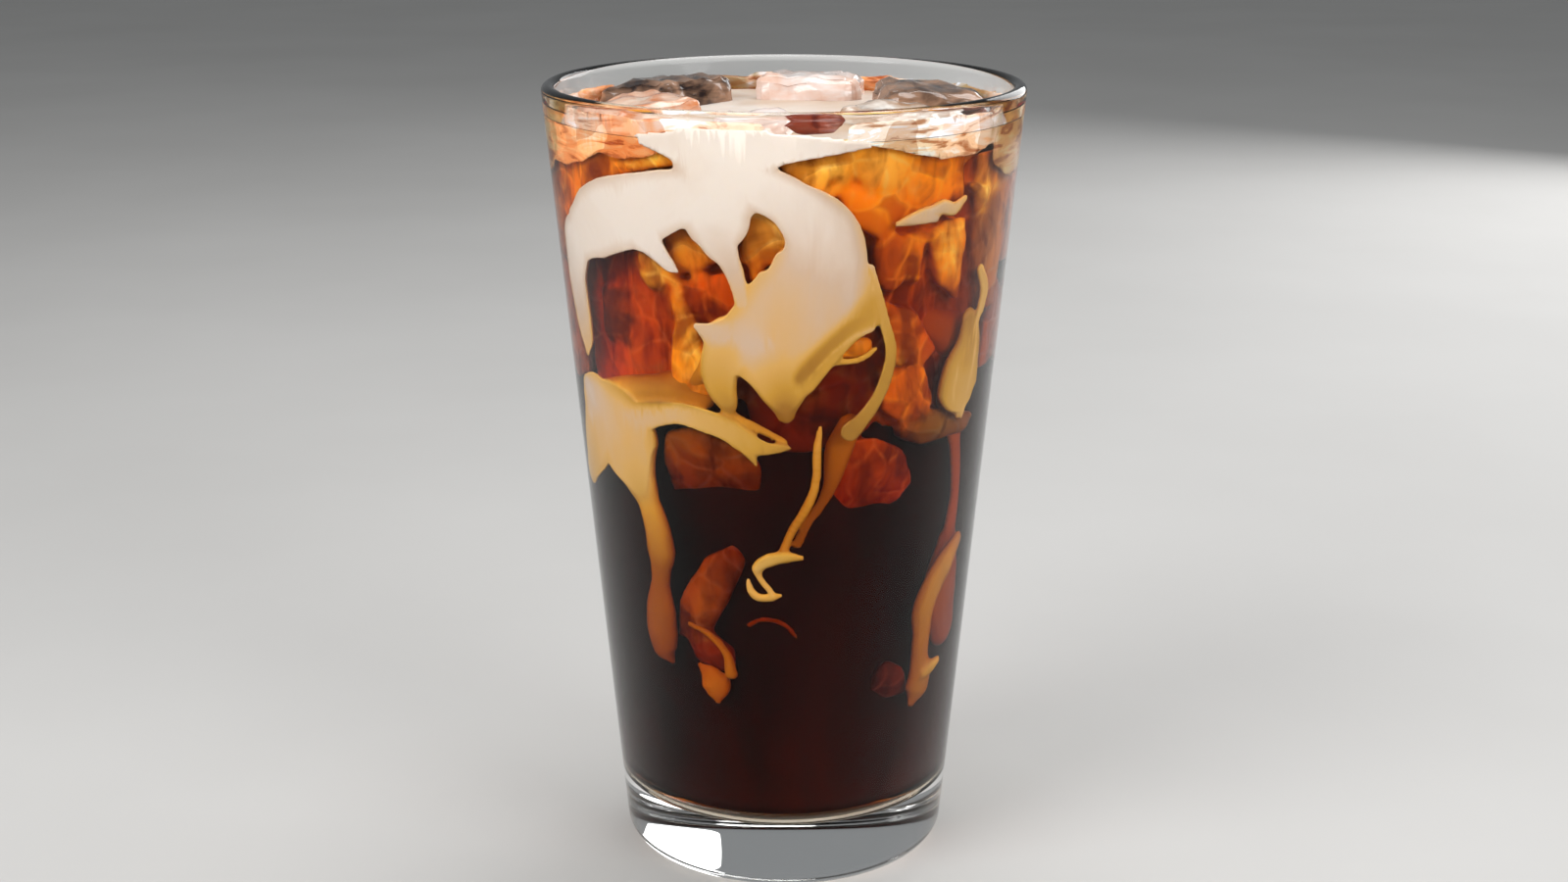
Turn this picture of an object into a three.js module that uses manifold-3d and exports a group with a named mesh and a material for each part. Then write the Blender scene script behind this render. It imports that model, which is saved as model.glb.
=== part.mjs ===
// An iced cold brew with sweet cream in a clear pint tumbler: the thick-based conical glass,
// the coffee that fills it, the cream that sinks through it along the wall, and the ice that floats at the top.
// Millimetres, +Z up, origin at the middle of the underside. The viewed side faces -Y.
import * as THREE from "three";
import { mergeVertices } from "three/addons/utils/BufferGeometryUtils.js";
import { RoundedBoxGeometry } from "three/addons/geometries/RoundedBoxGeometry.js";
import Module from "manifold-3d";

// The tumbler: a straight cone inside and out, a rounded heel and a fire-rounded lip.
const GLASS_HEIGHT = 148;
const RIM_RADIUS = 44.45;
const FOOT_RADIUS = 30.6; // of the outer cone carried down to the table
const HEEL_ROUND = 5;
const WALL_AT_RIM = 2.6;
const WALL_AT_FOOT = 3.8;
const BASE_THICKNESS = 12.5;
const WELL_ROUND = 6; // where the inner wall turns into the inner floor
const ROUND_STEPS = 6;
const TURN_STEPS = 56;

// The contents.
const GAP = 0.3; // left between pieces that touch
const CREAM_GAP = 0.4; // left round the cream, whose strands bend
const DRINK_LEVEL = 141.5;
const CREAM_HEADROOM = 6; // how far the wall goes on trimming the cream above the drink

// The cream: strands that lie on the inner wall. Each control point is
// [degrees round from the front, height, half width], and a strand runs smoothly through its points.
const STRAND_SIDES = 8;
const STRAND_STEP = 5.5; // about how far apart a strand's sections are
const STRAND_MOST_DEPTH = 4.5; // how deep a wide strand reaches in from the wall
const WALL_STRANDS = {
  column: [[-14.6, 141, 8.6], [-14.7, 137.5, 7.8], [-14.9, 133, 6.6]],
  left_arm: [
    [-15, 133, 5.7], [-26.2, 132.6, 5], [-37.1, 130.1, 6.3], [-47.3, 128.2, 6.6], [-55, 126, 6.4],
    [-63, 123, 4.2],
  ],
  left_drip: [
    [-62.5, 123.3, 4.6], [-67.4, 115.3, 3.8], [-66.7, 110.8, 3.4], [-65.8, 106.7, 3], [-65.6, 101.1, 0.7],
  ],
  middle_drip: [[-37.4, 127.6, 4.8], [-34.3, 124.4, 2.4], [-31.4, 122.2, 1.5], [-27.2, 119.7, 0.4]],
  hole_strand: [[-16.4, 129.9, 5.8], [-15.9, 125.8, 3.4], [-13.4, 122.3, 1.8], [-10.5, 115.2, 1.1]],
  right_body: [
    [-7.9, 136, 4.5], [2.4, 132.7, 4.3], [9, 126.4, 6.7], [8.9, 120.5, 8.3], [6.8, 115.8, 10],
    [2, 111.9, 9.6], [-2.5, 108.6, 8.8],
  ],
  shoulder: [[-22.6, 110.3, 0.6], [-18.2, 109, 2.3], [-12.5, 108.1, 4.2], [-3.7, 108, 7.6]],
  left_lobe: [[-13.1, 107.4, 5.2], [-17, 103.2, 3.5], [-16.9, 99.6, 2.8], [-14.2, 94.3, 0.6]],
  right_lobe: [[-2.5, 106.9, 7.6], [-0.8, 102.1, 6], [0, 98.2, 3.9], [0.5, 94.2, 1.4]],
  ribbed_arm: [
    [3.8, 101.6, 3.4], [9.6, 105.9, 3.1], [15.5, 109.8, 2.8], [21.1, 112.7, 2.9], [23, 115.7, 1.4],
  ],
  loop_strand: [
    [21.5, 120.5, 0.9], [24, 115.7, 0.9], [28.7, 105.5, 1.1], [28, 101.2, 1.2], [21.5, 93.3, 1.4],
    [18.3, 91.3, 1.8],
  ],
  ribbon: [
    [19.3, 91.8, 2.2], [16.4, 87.8, 2.5], [15.2, 84.2, 1.9], [11.4, 77.6, 0.9], [7.4, 74.2, 0.8],
    [4, 69.9, 0.8],
  ],
  low_sheet: [
    [-63.1, 91.2, 6.2], [-52.5, 88.3, 8.6], [-50, 83.7, 7.4], [-46.8, 79.3, 4.1], [-44.3, 75.5, 2.6],
    [-41.8, 65.9, 3.1], [-43.9, 59.4, 2], [-45.4, 54.1, 3.3], [-46.4, 49.4, 3.5], [-43.6, 43.7, 0.9],
  ],
  low_edge: [[-62.1, 89.1, 6.8], [-69.1, 82.5, 5.2], [-75, 77, 2.4]],
  low_branch: [
    [-48.4, 90.7, 3], [-30.3, 93.8, 1.9], [-22.1, 93.1, 2.1], [-9.6, 89.3, 1.9], [-4, 88.5, 1],
    [1.6, 88.7, 0.4],
  ],
  right_drip: [[57.3, 109, 1.8], [58.6, 104, 4.4], [57.6, 99.2, 6.2], [57.2, 95.4, 6.2], [57.7, 90.5, 1.2]],
  right_strand: [
    [67.7, 65.5, 1.6], [60.9, 60.7, 2.7], [52.2, 53, 2.8], [52.5, 48.4, 2.2], [54, 39.1, 2.8],
    [51.2, 34.2, 1.2],
  ],
};
// The strands that run deeper in the drink and tie the wall strands together.
const INNER_STRANDS = {
  low_bridge: {
    depth: 3.2, // in from the wall
    points: [[-16.6, 105.5, 3.6], [-26.6, 100.2, 2.8], [-38, 96.7, 3.4], [-56.9, 93.2, 3.4]],
  },
  right_bridge: {
    depth: 6,
    points: [[6, 116, 5], [24, 113, 2.6], [42, 110, 2.4], [56, 106, 4.6]],
  },
  right_tail: {
    depth: 3.4,
    points: [[58, 94, 4], [64, 84, 2.4], [68, 74, 2.2], [67, 65, 2.6]],
  },
};
// The pool of cream that floats on the drink before it sinks.
const POOL_MIDDLE = new THREE.Vector3(-4, -23.5, 141.1);
const POOL_HALF_SIZES = new THREE.Vector3(19, 18.5, 1.7);
const POOL_TURN_STEPS = 24;
const POOL_RISE_STEPS = 6;

// The ice that breaks the surface: worn cubes set round the wall.
// Angle round from the front, distance from the axis, height of the middle, size, turn and lean in degrees.
const ICE_ROUND = 3.4;
const ICE_ROUND_STEPS = 2;
const ICE_TAPER = 0.05;
const ICE_SKEW = 0.06;
const ICE_CUBES = {
  ice_front_left: { angle: -64, reach: 28, middle: 136.6, size: 19.5, turn: 4, lean: 10 },
  ice_front: { angle: -10.5, reach: 25.6, middle: 136.8, size: 16.5, turn: -3, lean: 8 },
  ice_front_right: { angle: 44, reach: 28, middle: 136.6, size: 18.5, turn: 7, lean: 10 },
  ice_right: { angle: 100, reach: 26.8, middle: 136.2, size: 21, turn: -6, lean: 6 },
  ice_back: { angle: 168, reach: 26, middle: 136, size: 21, turn: 6, lean: 6 },
  ice_back_left: { angle: -126, reach: 26.6, middle: 136.8, size: 20, turn: -4, lean: 7 },
};

const GLASS_FINISH = { color: 0xeef3f2, roughness: 0.03, metalness: 0, transparent: true, opacity: 0.35 };
const COFFEE_FINISH = { color: 0x2a0f06, roughness: 0.08, metalness: 0 };
const CREAM_FINISH = { color: 0xf3e3d6, roughness: 0.45, metalness: 0 };
const ICE_FINISH = { color: 0xc9a27c, roughness: 0.12, metalness: 0, transparent: true, opacity: 0.6 };

const wasm = await Module();
wasm.setup();

/** The radius of the outer wall at a height. */
function outerRadius(height) {
  return THREE.MathUtils.lerp(FOOT_RADIUS, RIM_RADIUS, height / GLASS_HEIGHT);
}

/** The radius of the inner wall at a height. */
function innerRadius(height) {
  return outerRadius(height) - THREE.MathUtils.lerp(WALL_AT_FOOT, WALL_AT_RIM, height / GLASS_HEIGHT);
}

/** A solid for booleans from a closed three.js geometry. */
function solidFrom(geometry) {
  const bare = geometry.clone();
  bare.deleteAttribute("normal");
  bare.deleteAttribute("uv");
  const merged = mergeVertices(bare, 1e-4);
  return new wasm.Manifold(
    new wasm.Mesh({
      numProp: 3,
      vertProperties: merged.attributes.position.array,
      triVerts: new Uint32Array(merged.index.array),
    }),
  );
}

/** The largest of a solid's separate bodies. */
function largestBody(solid) {
  return solid.decompose().sort((a, b) => b.volume() - a.volume())[0];
}

/** A named mesh from a solid. */
function meshFrom(name, solid, finish) {
  const cut = solid.getMesh();
  const geometry = new THREE.BufferGeometry();
  geometry.setAttribute("position", new THREE.BufferAttribute(cut.vertProperties, cut.numProp));
  geometry.setIndex(new THREE.BufferAttribute(cut.triVerts, 1));
  geometry.computeVertexNormals();
  const mesh = new THREE.Mesh(geometry, new THREE.MeshStandardMaterial(finish));
  mesh.name = name;
  return mesh;
}

/** Points of a round in the (radius, height) plane, from one angle to another. */
function roundPoints(centreRadius, centreHeight, radius, fromDegrees, toDegrees) {
  const points = [];
  for (let step = 0; step <= ROUND_STEPS; step++) {
    const angle = THREE.MathUtils.degToRad(THREE.MathUtils.lerp(fromDegrees, toDegrees, step / ROUND_STEPS));
    const offset = new THREE.Vector2(radius * Math.cos(angle), radius * Math.sin(angle));
    points.push(offset.add(new THREE.Vector2(centreRadius, centreHeight)));
  }
  return points;
}

/** The half profile of the inner well, from the axis up to a height, drawn in by a clearance. */
function wellProfile(clearance, top) {
  const floor = BASE_THICKNESS + clearance;
  const round = WELL_ROUND - clearance;
  const roundHeight = floor + round;
  const lean = Math.atan2(innerRadius(GLASS_HEIGHT) - innerRadius(0), GLASS_HEIGHT);
  const roundRadius = innerRadius(roundHeight) - clearance - round / Math.cos(lean);
  return [
    new THREE.Vector2(0, floor),
    ...roundPoints(roundRadius, roundHeight, round, -90, -THREE.MathUtils.radToDeg(lean)),
    new THREE.Vector2(innerRadius(top) - clearance, top),
  ];
}

/** A turned solid from a half profile that starts and ends on the axis and goes up the outside. */
function turned(profile) {
  const lathe = new THREE.LatheGeometry(profile, TURN_STEPS);
  return solidFrom(lathe.rotateX(Math.PI / 2)); // the lathe turns round +Y, so it is stood up along +Z
}

/** The whole glass: outer profile up, over the lip, and down the well back to the axis. */
function glassSolid() {
  const lipRound = WALL_AT_RIM / 2;
  const lipHeight = GLASS_HEIGHT - lipRound;
  const heelLean = THREE.MathUtils.radToDeg(Math.atan2(RIM_RADIUS - FOOT_RADIUS, GLASS_HEIGHT));
  const heelRadius = outerRadius(HEEL_ROUND) - HEEL_ROUND / Math.cos(THREE.MathUtils.degToRad(heelLean));
  const well = wellProfile(0, lipHeight).reverse();
  const profile = [
    new THREE.Vector2(0, 0),
    ...roundPoints(heelRadius, HEEL_ROUND, HEEL_ROUND, -90, -heelLean),
    ...roundPoints(outerRadius(lipHeight) - lipRound, lipHeight, lipRound, 0, 180),
    ...well.slice(1),
  ];
  return turned(profile);
}

/** The space inside the glass up to a height, drawn in from the wall and floor by the gap. */
function wellSolid(top) {
  return turned([...wellProfile(GAP, top), new THREE.Vector2(0, top)]);
}

/** A place on the inner wall: degrees round from the front, height, and depth in from the wall. */
function wallPoint(degrees, height, depth) {
  const angle = THREE.MathUtils.degToRad(degrees);
  const radius = innerRadius(height) - depth;
  return new THREE.Vector3(radius * Math.sin(angle), -radius * Math.cos(angle), height);
}

/** A tapered strand of cream swept along the wall; grow widens it and lengthens it all round. */
function strandSolid(controls, depthFromWall, grow) {
  const path = new THREE.CatmullRomCurve3(controls.map((control) => new THREE.Vector3(...control)));
  const stops = controls.map(([degrees, height]) => wallPoint(degrees, height, depthFromWall));
  const reach = stops.slice(1).reduce((sum, stop, index) => sum + stop.distanceTo(stops[index]), 0);
  const last = Math.max(controls.length - 1, Math.round(reach / STRAND_STEP));
  const samples = [];
  for (let step = 0; step <= last; step++) samples.push(path.getPoint(step / last));
  const centres = samples.map((at) => wallPoint(at.x, at.y, depthFromWall));
  const positions = [];
  centres.forEach((centre, step) => {
    const along = centres[Math.min(step + 1, last)].clone().sub(centres[Math.max(step - 1, 0)]).normalize();
    const out = new THREE.Vector3(centre.x, centre.y, 0).normalize();
    const across = new THREE.Vector3().crossVectors(along, out).normalize();
    const endShift = step === 0 ? -grow : step === last ? grow : 0;
    const middle = centre.clone().addScaledVector(along, endShift);
    const halfWidth = samples[step].z + grow;
    const depth = Math.min(samples[step].z, STRAND_MOST_DEPTH) + grow;
    for (let side = 0; side < STRAND_SIDES; side++) {
      const turn = (2 * Math.PI * side) / STRAND_SIDES;
      const point = middle
        .clone()
        .addScaledVector(across, halfWidth * Math.cos(turn))
        .addScaledVector(out, depth * Math.sin(turn));
      positions.push(point.x, point.y, point.z);
    }
  });
  const indices = [];
  for (let step = 0; step < last; step++) {
    for (let side = 0; side < STRAND_SIDES; side++) {
      const next = (side + 1) % STRAND_SIDES;
      const lower = step * STRAND_SIDES;
      const upper = lower + STRAND_SIDES;
      indices.push(lower + side, upper + next, lower + next);
      indices.push(lower + side, upper + side, upper + next);
    }
  }
  const end = last * STRAND_SIDES;
  for (let side = 1; side < STRAND_SIDES - 1; side++) {
    indices.push(0, side, side + 1);
    indices.push(end, end + side + 1, end + side);
  }
  const geometry = new THREE.BufferGeometry();
  geometry.setAttribute("position", new THREE.Float32BufferAttribute(positions, 3));
  geometry.setIndex(indices);
  return solidFrom(geometry);
}

/** The floating pool, a thin lens. */
function poolSolid(grow) {
  const lens = new THREE.SphereGeometry(1, POOL_TURN_STEPS, POOL_RISE_STEPS);
  lens.rotateX(Math.PI / 2);
  lens.scale(POOL_HALF_SIZES.x + grow, POOL_HALF_SIZES.y + grow, POOL_HALF_SIZES.z + grow);
  lens.translate(POOL_MIDDLE.x, POOL_MIDDLE.y, POOL_MIDDLE.z);
  return solidFrom(lens);
}

/** All of the cream in one body, before the wall and the ice trim it. */
function creamMass(grow) {
  let mass = poolSolid(grow);
  for (const points of Object.values(WALL_STRANDS)) mass = mass.add(strandSolid(points, 0, grow));
  for (const { depth, points } of Object.values(INNER_STRANDS)) {
    mass = mass.add(strandSolid(points, depth, grow));
  }
  return mass;
}

/** One worn ice cube: a rounded box that narrows towards its foot and leans over a little. */
function iceSolid({ angle, reach, middle, size, turn, lean }, grow) {
  const side = size + 2 * grow;
  const cube = new RoundedBoxGeometry(side, side, side, ICE_ROUND_STEPS, ICE_ROUND + grow);
  const place = cube.attributes.position;
  for (let index = 0; index < place.count; index++) {
    const rise = place.getZ(index) / size;
    const width = 1 + ICE_TAPER * rise;
    place.setX(index, place.getX(index) * width + ICE_SKEW * size * rise * Math.abs(rise));
    place.setY(index, place.getY(index) * width);
  }
  cube.rotateX(THREE.MathUtils.degToRad(lean));
  cube.rotateZ(THREE.MathUtils.degToRad(turn));
  cube.translate(0, -reach, middle);
  cube.rotateZ(THREE.MathUtils.degToRad(angle));
  return solidFrom(cube);
}

const part = new THREE.Group();
part.name = "sweet_cream_cold_brew";

const iceSolids = Object.entries(ICE_CUBES).map(([name, cube]) => [name, iceSolid(cube, 0)]);
const iceRoom = Object.values(ICE_CUBES)
  .map((cube) => iceSolid(cube, GAP))
  .reduce((room, cube) => room.add(cube));

const cream = largestBody(creamMass(0).intersect(wellSolid(DRINK_LEVEL + CREAM_HEADROOM)).subtract(iceRoom));
const coffee = largestBody(wellSolid(DRINK_LEVEL).subtract(creamMass(CREAM_GAP)).subtract(iceRoom));

part.add(meshFrom("glass", glassSolid(), GLASS_FINISH));
part.add(meshFrom("cold_brew", coffee, COFFEE_FINISH));
part.add(meshFrom("sweet_cream", cream, CREAM_FINISH));
for (const [name, solid] of iceSolids) part.add(meshFrom(name, solid, ICE_FINISH));

export default part;
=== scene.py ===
"""Looks of an iced cold brew with sweet cream in a pint tumbler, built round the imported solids."""

import logging
import math
from dataclasses import dataclass, field
from enum import Enum
from typing import Callable, Iterable, Sequence

import bpy
import numpy as np
from mathutils import Matrix, Vector


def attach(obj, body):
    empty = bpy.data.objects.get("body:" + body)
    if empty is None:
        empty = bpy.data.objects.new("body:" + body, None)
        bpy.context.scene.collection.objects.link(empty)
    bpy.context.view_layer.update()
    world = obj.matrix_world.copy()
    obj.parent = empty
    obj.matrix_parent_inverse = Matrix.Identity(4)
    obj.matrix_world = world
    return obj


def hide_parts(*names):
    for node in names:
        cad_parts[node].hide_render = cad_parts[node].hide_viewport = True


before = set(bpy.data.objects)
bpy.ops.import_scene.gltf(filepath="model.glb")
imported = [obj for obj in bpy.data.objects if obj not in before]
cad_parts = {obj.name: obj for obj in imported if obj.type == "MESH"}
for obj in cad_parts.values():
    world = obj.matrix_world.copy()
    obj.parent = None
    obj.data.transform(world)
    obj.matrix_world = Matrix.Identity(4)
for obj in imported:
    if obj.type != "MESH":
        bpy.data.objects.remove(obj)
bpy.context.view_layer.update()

log = logging.getLogger("cold_brew")

MM = 0.001
BODY = "root"

Piece = bpy.types.Object
Material = bpy.types.Material
NodeSocket = bpy.types.NodeSocket
Colour = tuple[float, float, float]
Ring = tuple[float, float]

BLACK: Colour = (0.0, 0.0, 0.0)
WHITE: Colour = (1.0, 1.0, 1.0)
EVEN_STOPS = (0.3, 0.7)
MERGE_DISTANCE = 1e-7


class Slot(Enum):
    """Names of material slots, which this script does not use."""

    GLASS = "glass"
    COFFEE = "coffee"
    CREAM = "cream"
    ICE = "ice"


class Socket(Enum):
    """Input names of the surface shader."""

    COLOUR = "Base Color"
    ROUGHNESS = "Roughness"
    TRANSMISSION = "Transmission Weight"
    IOR = "IOR"
    NORMAL = "Normal"
    COAT = "Coat Weight"
    COAT_ROUGHNESS = "Coat Roughness"
    SUBSURFACE = "Subsurface Weight"
    SUBSURFACE_RADIUS = "Subsurface Radius"
    SUBSURFACE_SCALE = "Subsurface Scale"
    SPECULAR = "Specular IOR Level"
    SPECULAR_TINT = "Specular Tint"


class CellLook(Enum):
    """Values of a cracked pattern: (feature, output)."""

    CHANCE = ("F1", "Color")
    CRACK = ("DISTANCE_TO_EDGE", "Distance")


# Bench: operators on one piece at a time


def clear_selection() -> None:
    """Leaves edit mode and deselects every object."""
    if bpy.context.object is not None and bpy.context.object.mode != "OBJECT":
        bpy.ops.object.mode_set(mode="OBJECT")
    bpy.ops.object.select_all(action="DESELECT")


def pick(piece: Piece) -> None:
    """Makes one piece the selected and active object."""
    clear_selection()
    piece.select_set(True)
    bpy.context.view_layer.objects.active = piece


def settle(piece: Piece) -> None:
    """Moves a piece's place, turn and size into its mesh."""
    pick(piece)
    bpy.ops.object.transform_apply(location=True, rotation=True, scale=True)


def apply_modifier(piece: Piece, kind: str, **settings: object) -> None:
    """Adds a modifier to a piece and applies it.

    Args:
        piece: the object to change.
        kind: the modifier's type.
        **settings: values for the modifier's properties.
    """
    pick(piece)
    modifier = piece.modifiers.new(kind.title(), kind)
    for name, value in settings.items():
        setattr(modifier, name, value)
    bpy.ops.object.modifier_apply(modifier=modifier.name)


def move_vertices(piece: Piece, move: Callable[[Vector], Vector]) -> None:
    """Moves every vertex of a piece.

    Args:
        piece: the object to change.
        move: gives a vertex's new place from its old one.
    """
    for vertex in piece.data.vertices:
        vertex.co = move(vertex.co)
    piece.data.update()


def face_outwards(piece: Piece) -> None:
    """Merges a piece's doubled vertices and points its faces outwards."""
    pick(piece)
    bpy.ops.object.mode_set(mode="EDIT")
    bpy.ops.mesh.select_all(action="SELECT")
    bpy.ops.mesh.remove_doubles(threshold=MERGE_DISTANCE)
    bpy.ops.mesh.normals_make_consistent(inside=False)
    bpy.ops.object.mode_set(mode="OBJECT")


def smooth_shade(piece: Piece, degrees: float | None = None) -> None:
    """Shades a piece smooth, all over or up to an angle between faces."""
    pick(piece)
    if degrees is None:
        bpy.ops.object.shade_smooth()
    else:
        bpy.ops.object.shade_smooth_by_angle(angle=math.radians(degrees))


def join(pieces: Sequence[Piece], name: str) -> Piece:
    """Joins pieces into the first of them.

    Args:
        pieces: the objects to join.
        name: the name of the joined object.

    Returns:
        The joined object.
    """
    pick(pieces[0])
    for piece in pieces:
        piece.select_set(True)
    bpy.ops.object.join()
    joined = bpy.context.object
    joined.name = name
    joined.data.name = name
    return joined


def turn_rings(name: str, rings: Sequence[Ring], steps: int) -> Piece:
    """Draws a turned body out of a disc, ring by ring, and caps its last ring.

    Args:
        name: the new object's name.
        rings: (radius, height) of each ring from the first cap to the last, in metres.
        steps: vertices round each ring.

    Returns:
        The closed body.
    """
    clear_selection()
    radius, height = rings[0]
    foot = (0, 0, height)
    bpy.ops.mesh.primitive_circle_add(vertices=steps, radius=radius, fill_type="NGON", location=foot)
    body = bpy.context.object
    body.name = name
    body.data.name = name
    settle(body)
    bpy.ops.object.mode_set(mode="EDIT")
    bpy.ops.mesh.select_all(action="SELECT")
    for next_radius, next_height in rings[1:]:
        bpy.ops.mesh.extrude_region_move(TRANSFORM_OT_translate={"value": (0, 0, next_height - height)})
        scale = next_radius / radius
        bpy.ops.transform.resize(value=(scale, scale, 1), center_override=(0, 0, next_height))
        radius, height = next_radius, next_height
    bpy.ops.object.mode_set(mode="OBJECT")
    face_outwards(body)
    return body


def round_rings(middle: Ring, radius: float, start: float, end: float, steps: int) -> list[Ring]:
    """Rings of a round in the (radius, height) plane.

    Args:
        middle: the round's centre.
        radius: the round's radius.
        start: first angle in degrees.
        end: last angle in degrees.
        steps: spans between the two angles.

    Returns:
        The rings from start to end.
    """
    rings = []
    for step in range(steps + 1):
        angle = math.radians(start + (end - start) * step / steps)
        rings.append((middle[0] + radius * math.cos(angle), middle[1] + radius * math.sin(angle)))
    return rings


def coat(piece: Piece, material: Material) -> None:
    """Makes a material the only one on a piece."""
    piece.data.materials.clear()
    piece.data.materials.append(material)


def place_piece(piece: Piece, nodes: Iterable[str] = ()) -> None:
    """Fixes a finished piece to the frame and reports it.

    Args:
        piece: the finished object.
        nodes: the solids that it stands for.
    """
    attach(piece, BODY)
    for node in nodes:
        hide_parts(node)
    log.info("%s: %d faces", piece.name, len(piece.data.polygons))


# Finishes


@dataclass(frozen=True)
class Grain:
    """A noise pattern: features per metre, octaves of finer noise, scale of each axis, and its swirl."""

    scale: float
    detail: float
    stretch: tuple[float, float, float] = (1, 1, 1)
    swirl: float = 0


@dataclass(frozen=True)
class Relief:
    """How strongly a pattern raises the surface, and how high in metres."""

    strength: float
    height: float


@dataclass(frozen=True)
class Glow:
    """How light spreads under the surface: its share, the reach of each colour, and the scale in metres."""

    weight: float
    reach: Colour
    scale: float


class Shader:
    """A material's node tree with one surface shader in it."""

    def __init__(self, name: str) -> None:
        """Starts a material of a given name."""
        self.material = bpy.data.materials.new(name)
        self.material.use_nodes = True
        self.tree = self.material.node_tree
        self.tree.nodes.clear()
        self.output = self.tree.nodes.new("ShaderNodeOutputMaterial")
        self.surface = self.tree.nodes.new("ShaderNodeBsdfPrincipled")
        self.link(self.surface.outputs["BSDF"], self.output.inputs["Surface"])

    def link(self, source: NodeSocket, target: NodeSocket) -> None:
        """Joins two sockets."""
        self.tree.links.new(source, target)

    def set(self, socket: Socket, value: object) -> None:
        """Sets a plain value on the surface shader."""
        self.surface.inputs[socket.value].default_value = value

    def feed(self, socket: Socket, source: NodeSocket) -> None:
        """Links a node's result to the surface shader."""
        self.link(source, self.surface.inputs[socket.value])

    def place(self, scale: Sequence[float] = (1, 1, 1)) -> NodeSocket:
        """Object coordinates stretched by a scale on each axis."""
        coordinates = self.tree.nodes.new("ShaderNodeTexCoord")
        mapping = self.tree.nodes.new("ShaderNodeMapping")
        mapping.inputs["Scale"].default_value = scale
        self.link(coordinates.outputs["Object"], mapping.inputs["Vector"])
        return mapping.outputs["Vector"]

    def grain(self, grain: Grain) -> NodeSocket:
        """A noise pattern on object coordinates.

        Args:
            grain: the pattern's sizes.

        Returns:
            The noise value's socket.
        """
        pattern = self.tree.nodes.new("ShaderNodeTexNoise")
        pattern.inputs["Scale"].default_value = grain.scale
        pattern.inputs["Detail"].default_value = grain.detail
        pattern.inputs["Distortion"].default_value = grain.swirl
        self.link(self.place(grain.stretch), pattern.inputs["Vector"])
        return pattern.outputs["Fac"]

    def swirled(self, scale: float, reach: float) -> NodeSocket:
        """Object coordinates pushed about by a noise.

        Args:
            scale: features of the noise per metre.
            reach: how far it pushes, in metres.

        Returns:
            The coordinates' socket.
        """
        pattern = self.tree.nodes.new("ShaderNodeTexNoise")
        pattern.inputs["Scale"].default_value = scale
        place = self.place()
        self.link(place, pattern.inputs["Vector"])
        node = self.tree.nodes.new("ShaderNodeVectorMath")
        node.operation = "MULTIPLY_ADD"
        self.link(pattern.outputs["Color"], node.inputs[0])
        node.inputs[1].default_value = (reach, reach, reach)
        self.link(place, node.inputs[2])
        return node.outputs["Vector"]

    def cells(self, scale: float, place: NodeSocket, look: CellLook) -> NodeSocket:
        """A cracked pattern.

        Args:
            scale: cells per metre.
            place: the coordinates' socket.
            look: which value of the pattern to take.

        Returns:
            The value's socket.
        """
        feature, output = look.value
        pattern = self.tree.nodes.new("ShaderNodeTexVoronoi")
        pattern.feature = feature
        pattern.inputs["Scale"].default_value = scale
        self.link(place, pattern.inputs["Vector"])
        return pattern.outputs[output]

    def mixed(self, first: NodeSocket, second: Colour, share: NodeSocket) -> NodeSocket:
        """A colour turned towards a plain one by a share."""
        node = self.tree.nodes.new("ShaderNodeMix")
        node.data_type = "RGBA"
        colours = [socket for socket in node.inputs if socket.type == "RGBA"]
        self.link(share, node.inputs["Factor"])
        self.link(first, colours[0])
        colours[1].default_value = (*second, 1)
        return next(socket for socket in node.outputs if socket.type == "RGBA")

    def attribute(self, name: str, output: str = "Fac") -> NodeSocket:
        """A value or a colour stored on the piece's vertices."""
        node = self.tree.nodes.new("ShaderNodeAttribute")
        node.attribute_name = name
        return node.outputs[output]

    def tinted(self, first: NodeSocket, second: NodeSocket) -> NodeSocket:
        """One colour multiplied by another."""
        node = self.tree.nodes.new("ShaderNodeMix")
        node.data_type = "RGBA"
        node.blend_type = "MULTIPLY"
        node.inputs["Factor"].default_value = 1
        colours = [socket for socket in node.inputs if socket.type == "RGBA"]
        self.link(first, colours[0])
        self.link(second, colours[1])
        return next(socket for socket in node.outputs if socket.type == "RGBA")

    def blend(self, first: NodeSocket, second: NodeSocket, share: float) -> NodeSocket:
        """Adds a share of a second value, centred on nothing, to a first one."""
        node = self.tree.nodes.new("ShaderNodeMath")
        node.operation = "MULTIPLY_ADD"
        self.link(self.spread(second, -share, share), node.inputs[0])
        node.inputs[1].default_value = 1
        self.link(first, node.inputs[2])
        return node.outputs["Value"]

    def ramp(self, source: NodeSocket, stops: Sequence[tuple[float, Colour]]) -> NodeSocket:
        """Colours a value.

        Args:
            source: the value's socket.
            stops: (place, colour) pairs in rising order.

        Returns:
            The colour's socket.
        """
        ramp = self.tree.nodes.new("ShaderNodeValToRGB")
        elements = ramp.color_ramp.elements
        while len(elements) < len(stops):
            elements.new(0.5)
        for element, (at, colour) in zip(elements, stops):
            element.position = at
            element.color = (*colour, 1)
        self.link(source, ramp.inputs["Fac"])
        return ramp.outputs["Color"]

    def two_tone(
        self, source: NodeSocket, tones: tuple[Colour, Colour], stops: tuple[float, float] = EVEN_STOPS
    ) -> NodeSocket:
        """Colours a value from one tone at the first stop to another at the second."""
        return self.ramp(source, list(zip(stops, tones)))

    def spread(self, source: NodeSocket, low: float, high: float) -> NodeSocket:
        """Maps a 0 to 1 value to a range."""
        node = self.tree.nodes.new("ShaderNodeMapRange")
        node.inputs["To Min"].default_value = low
        node.inputs["To Max"].default_value = high
        self.link(source, node.inputs["Value"])
        return node.outputs["Result"]

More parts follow.
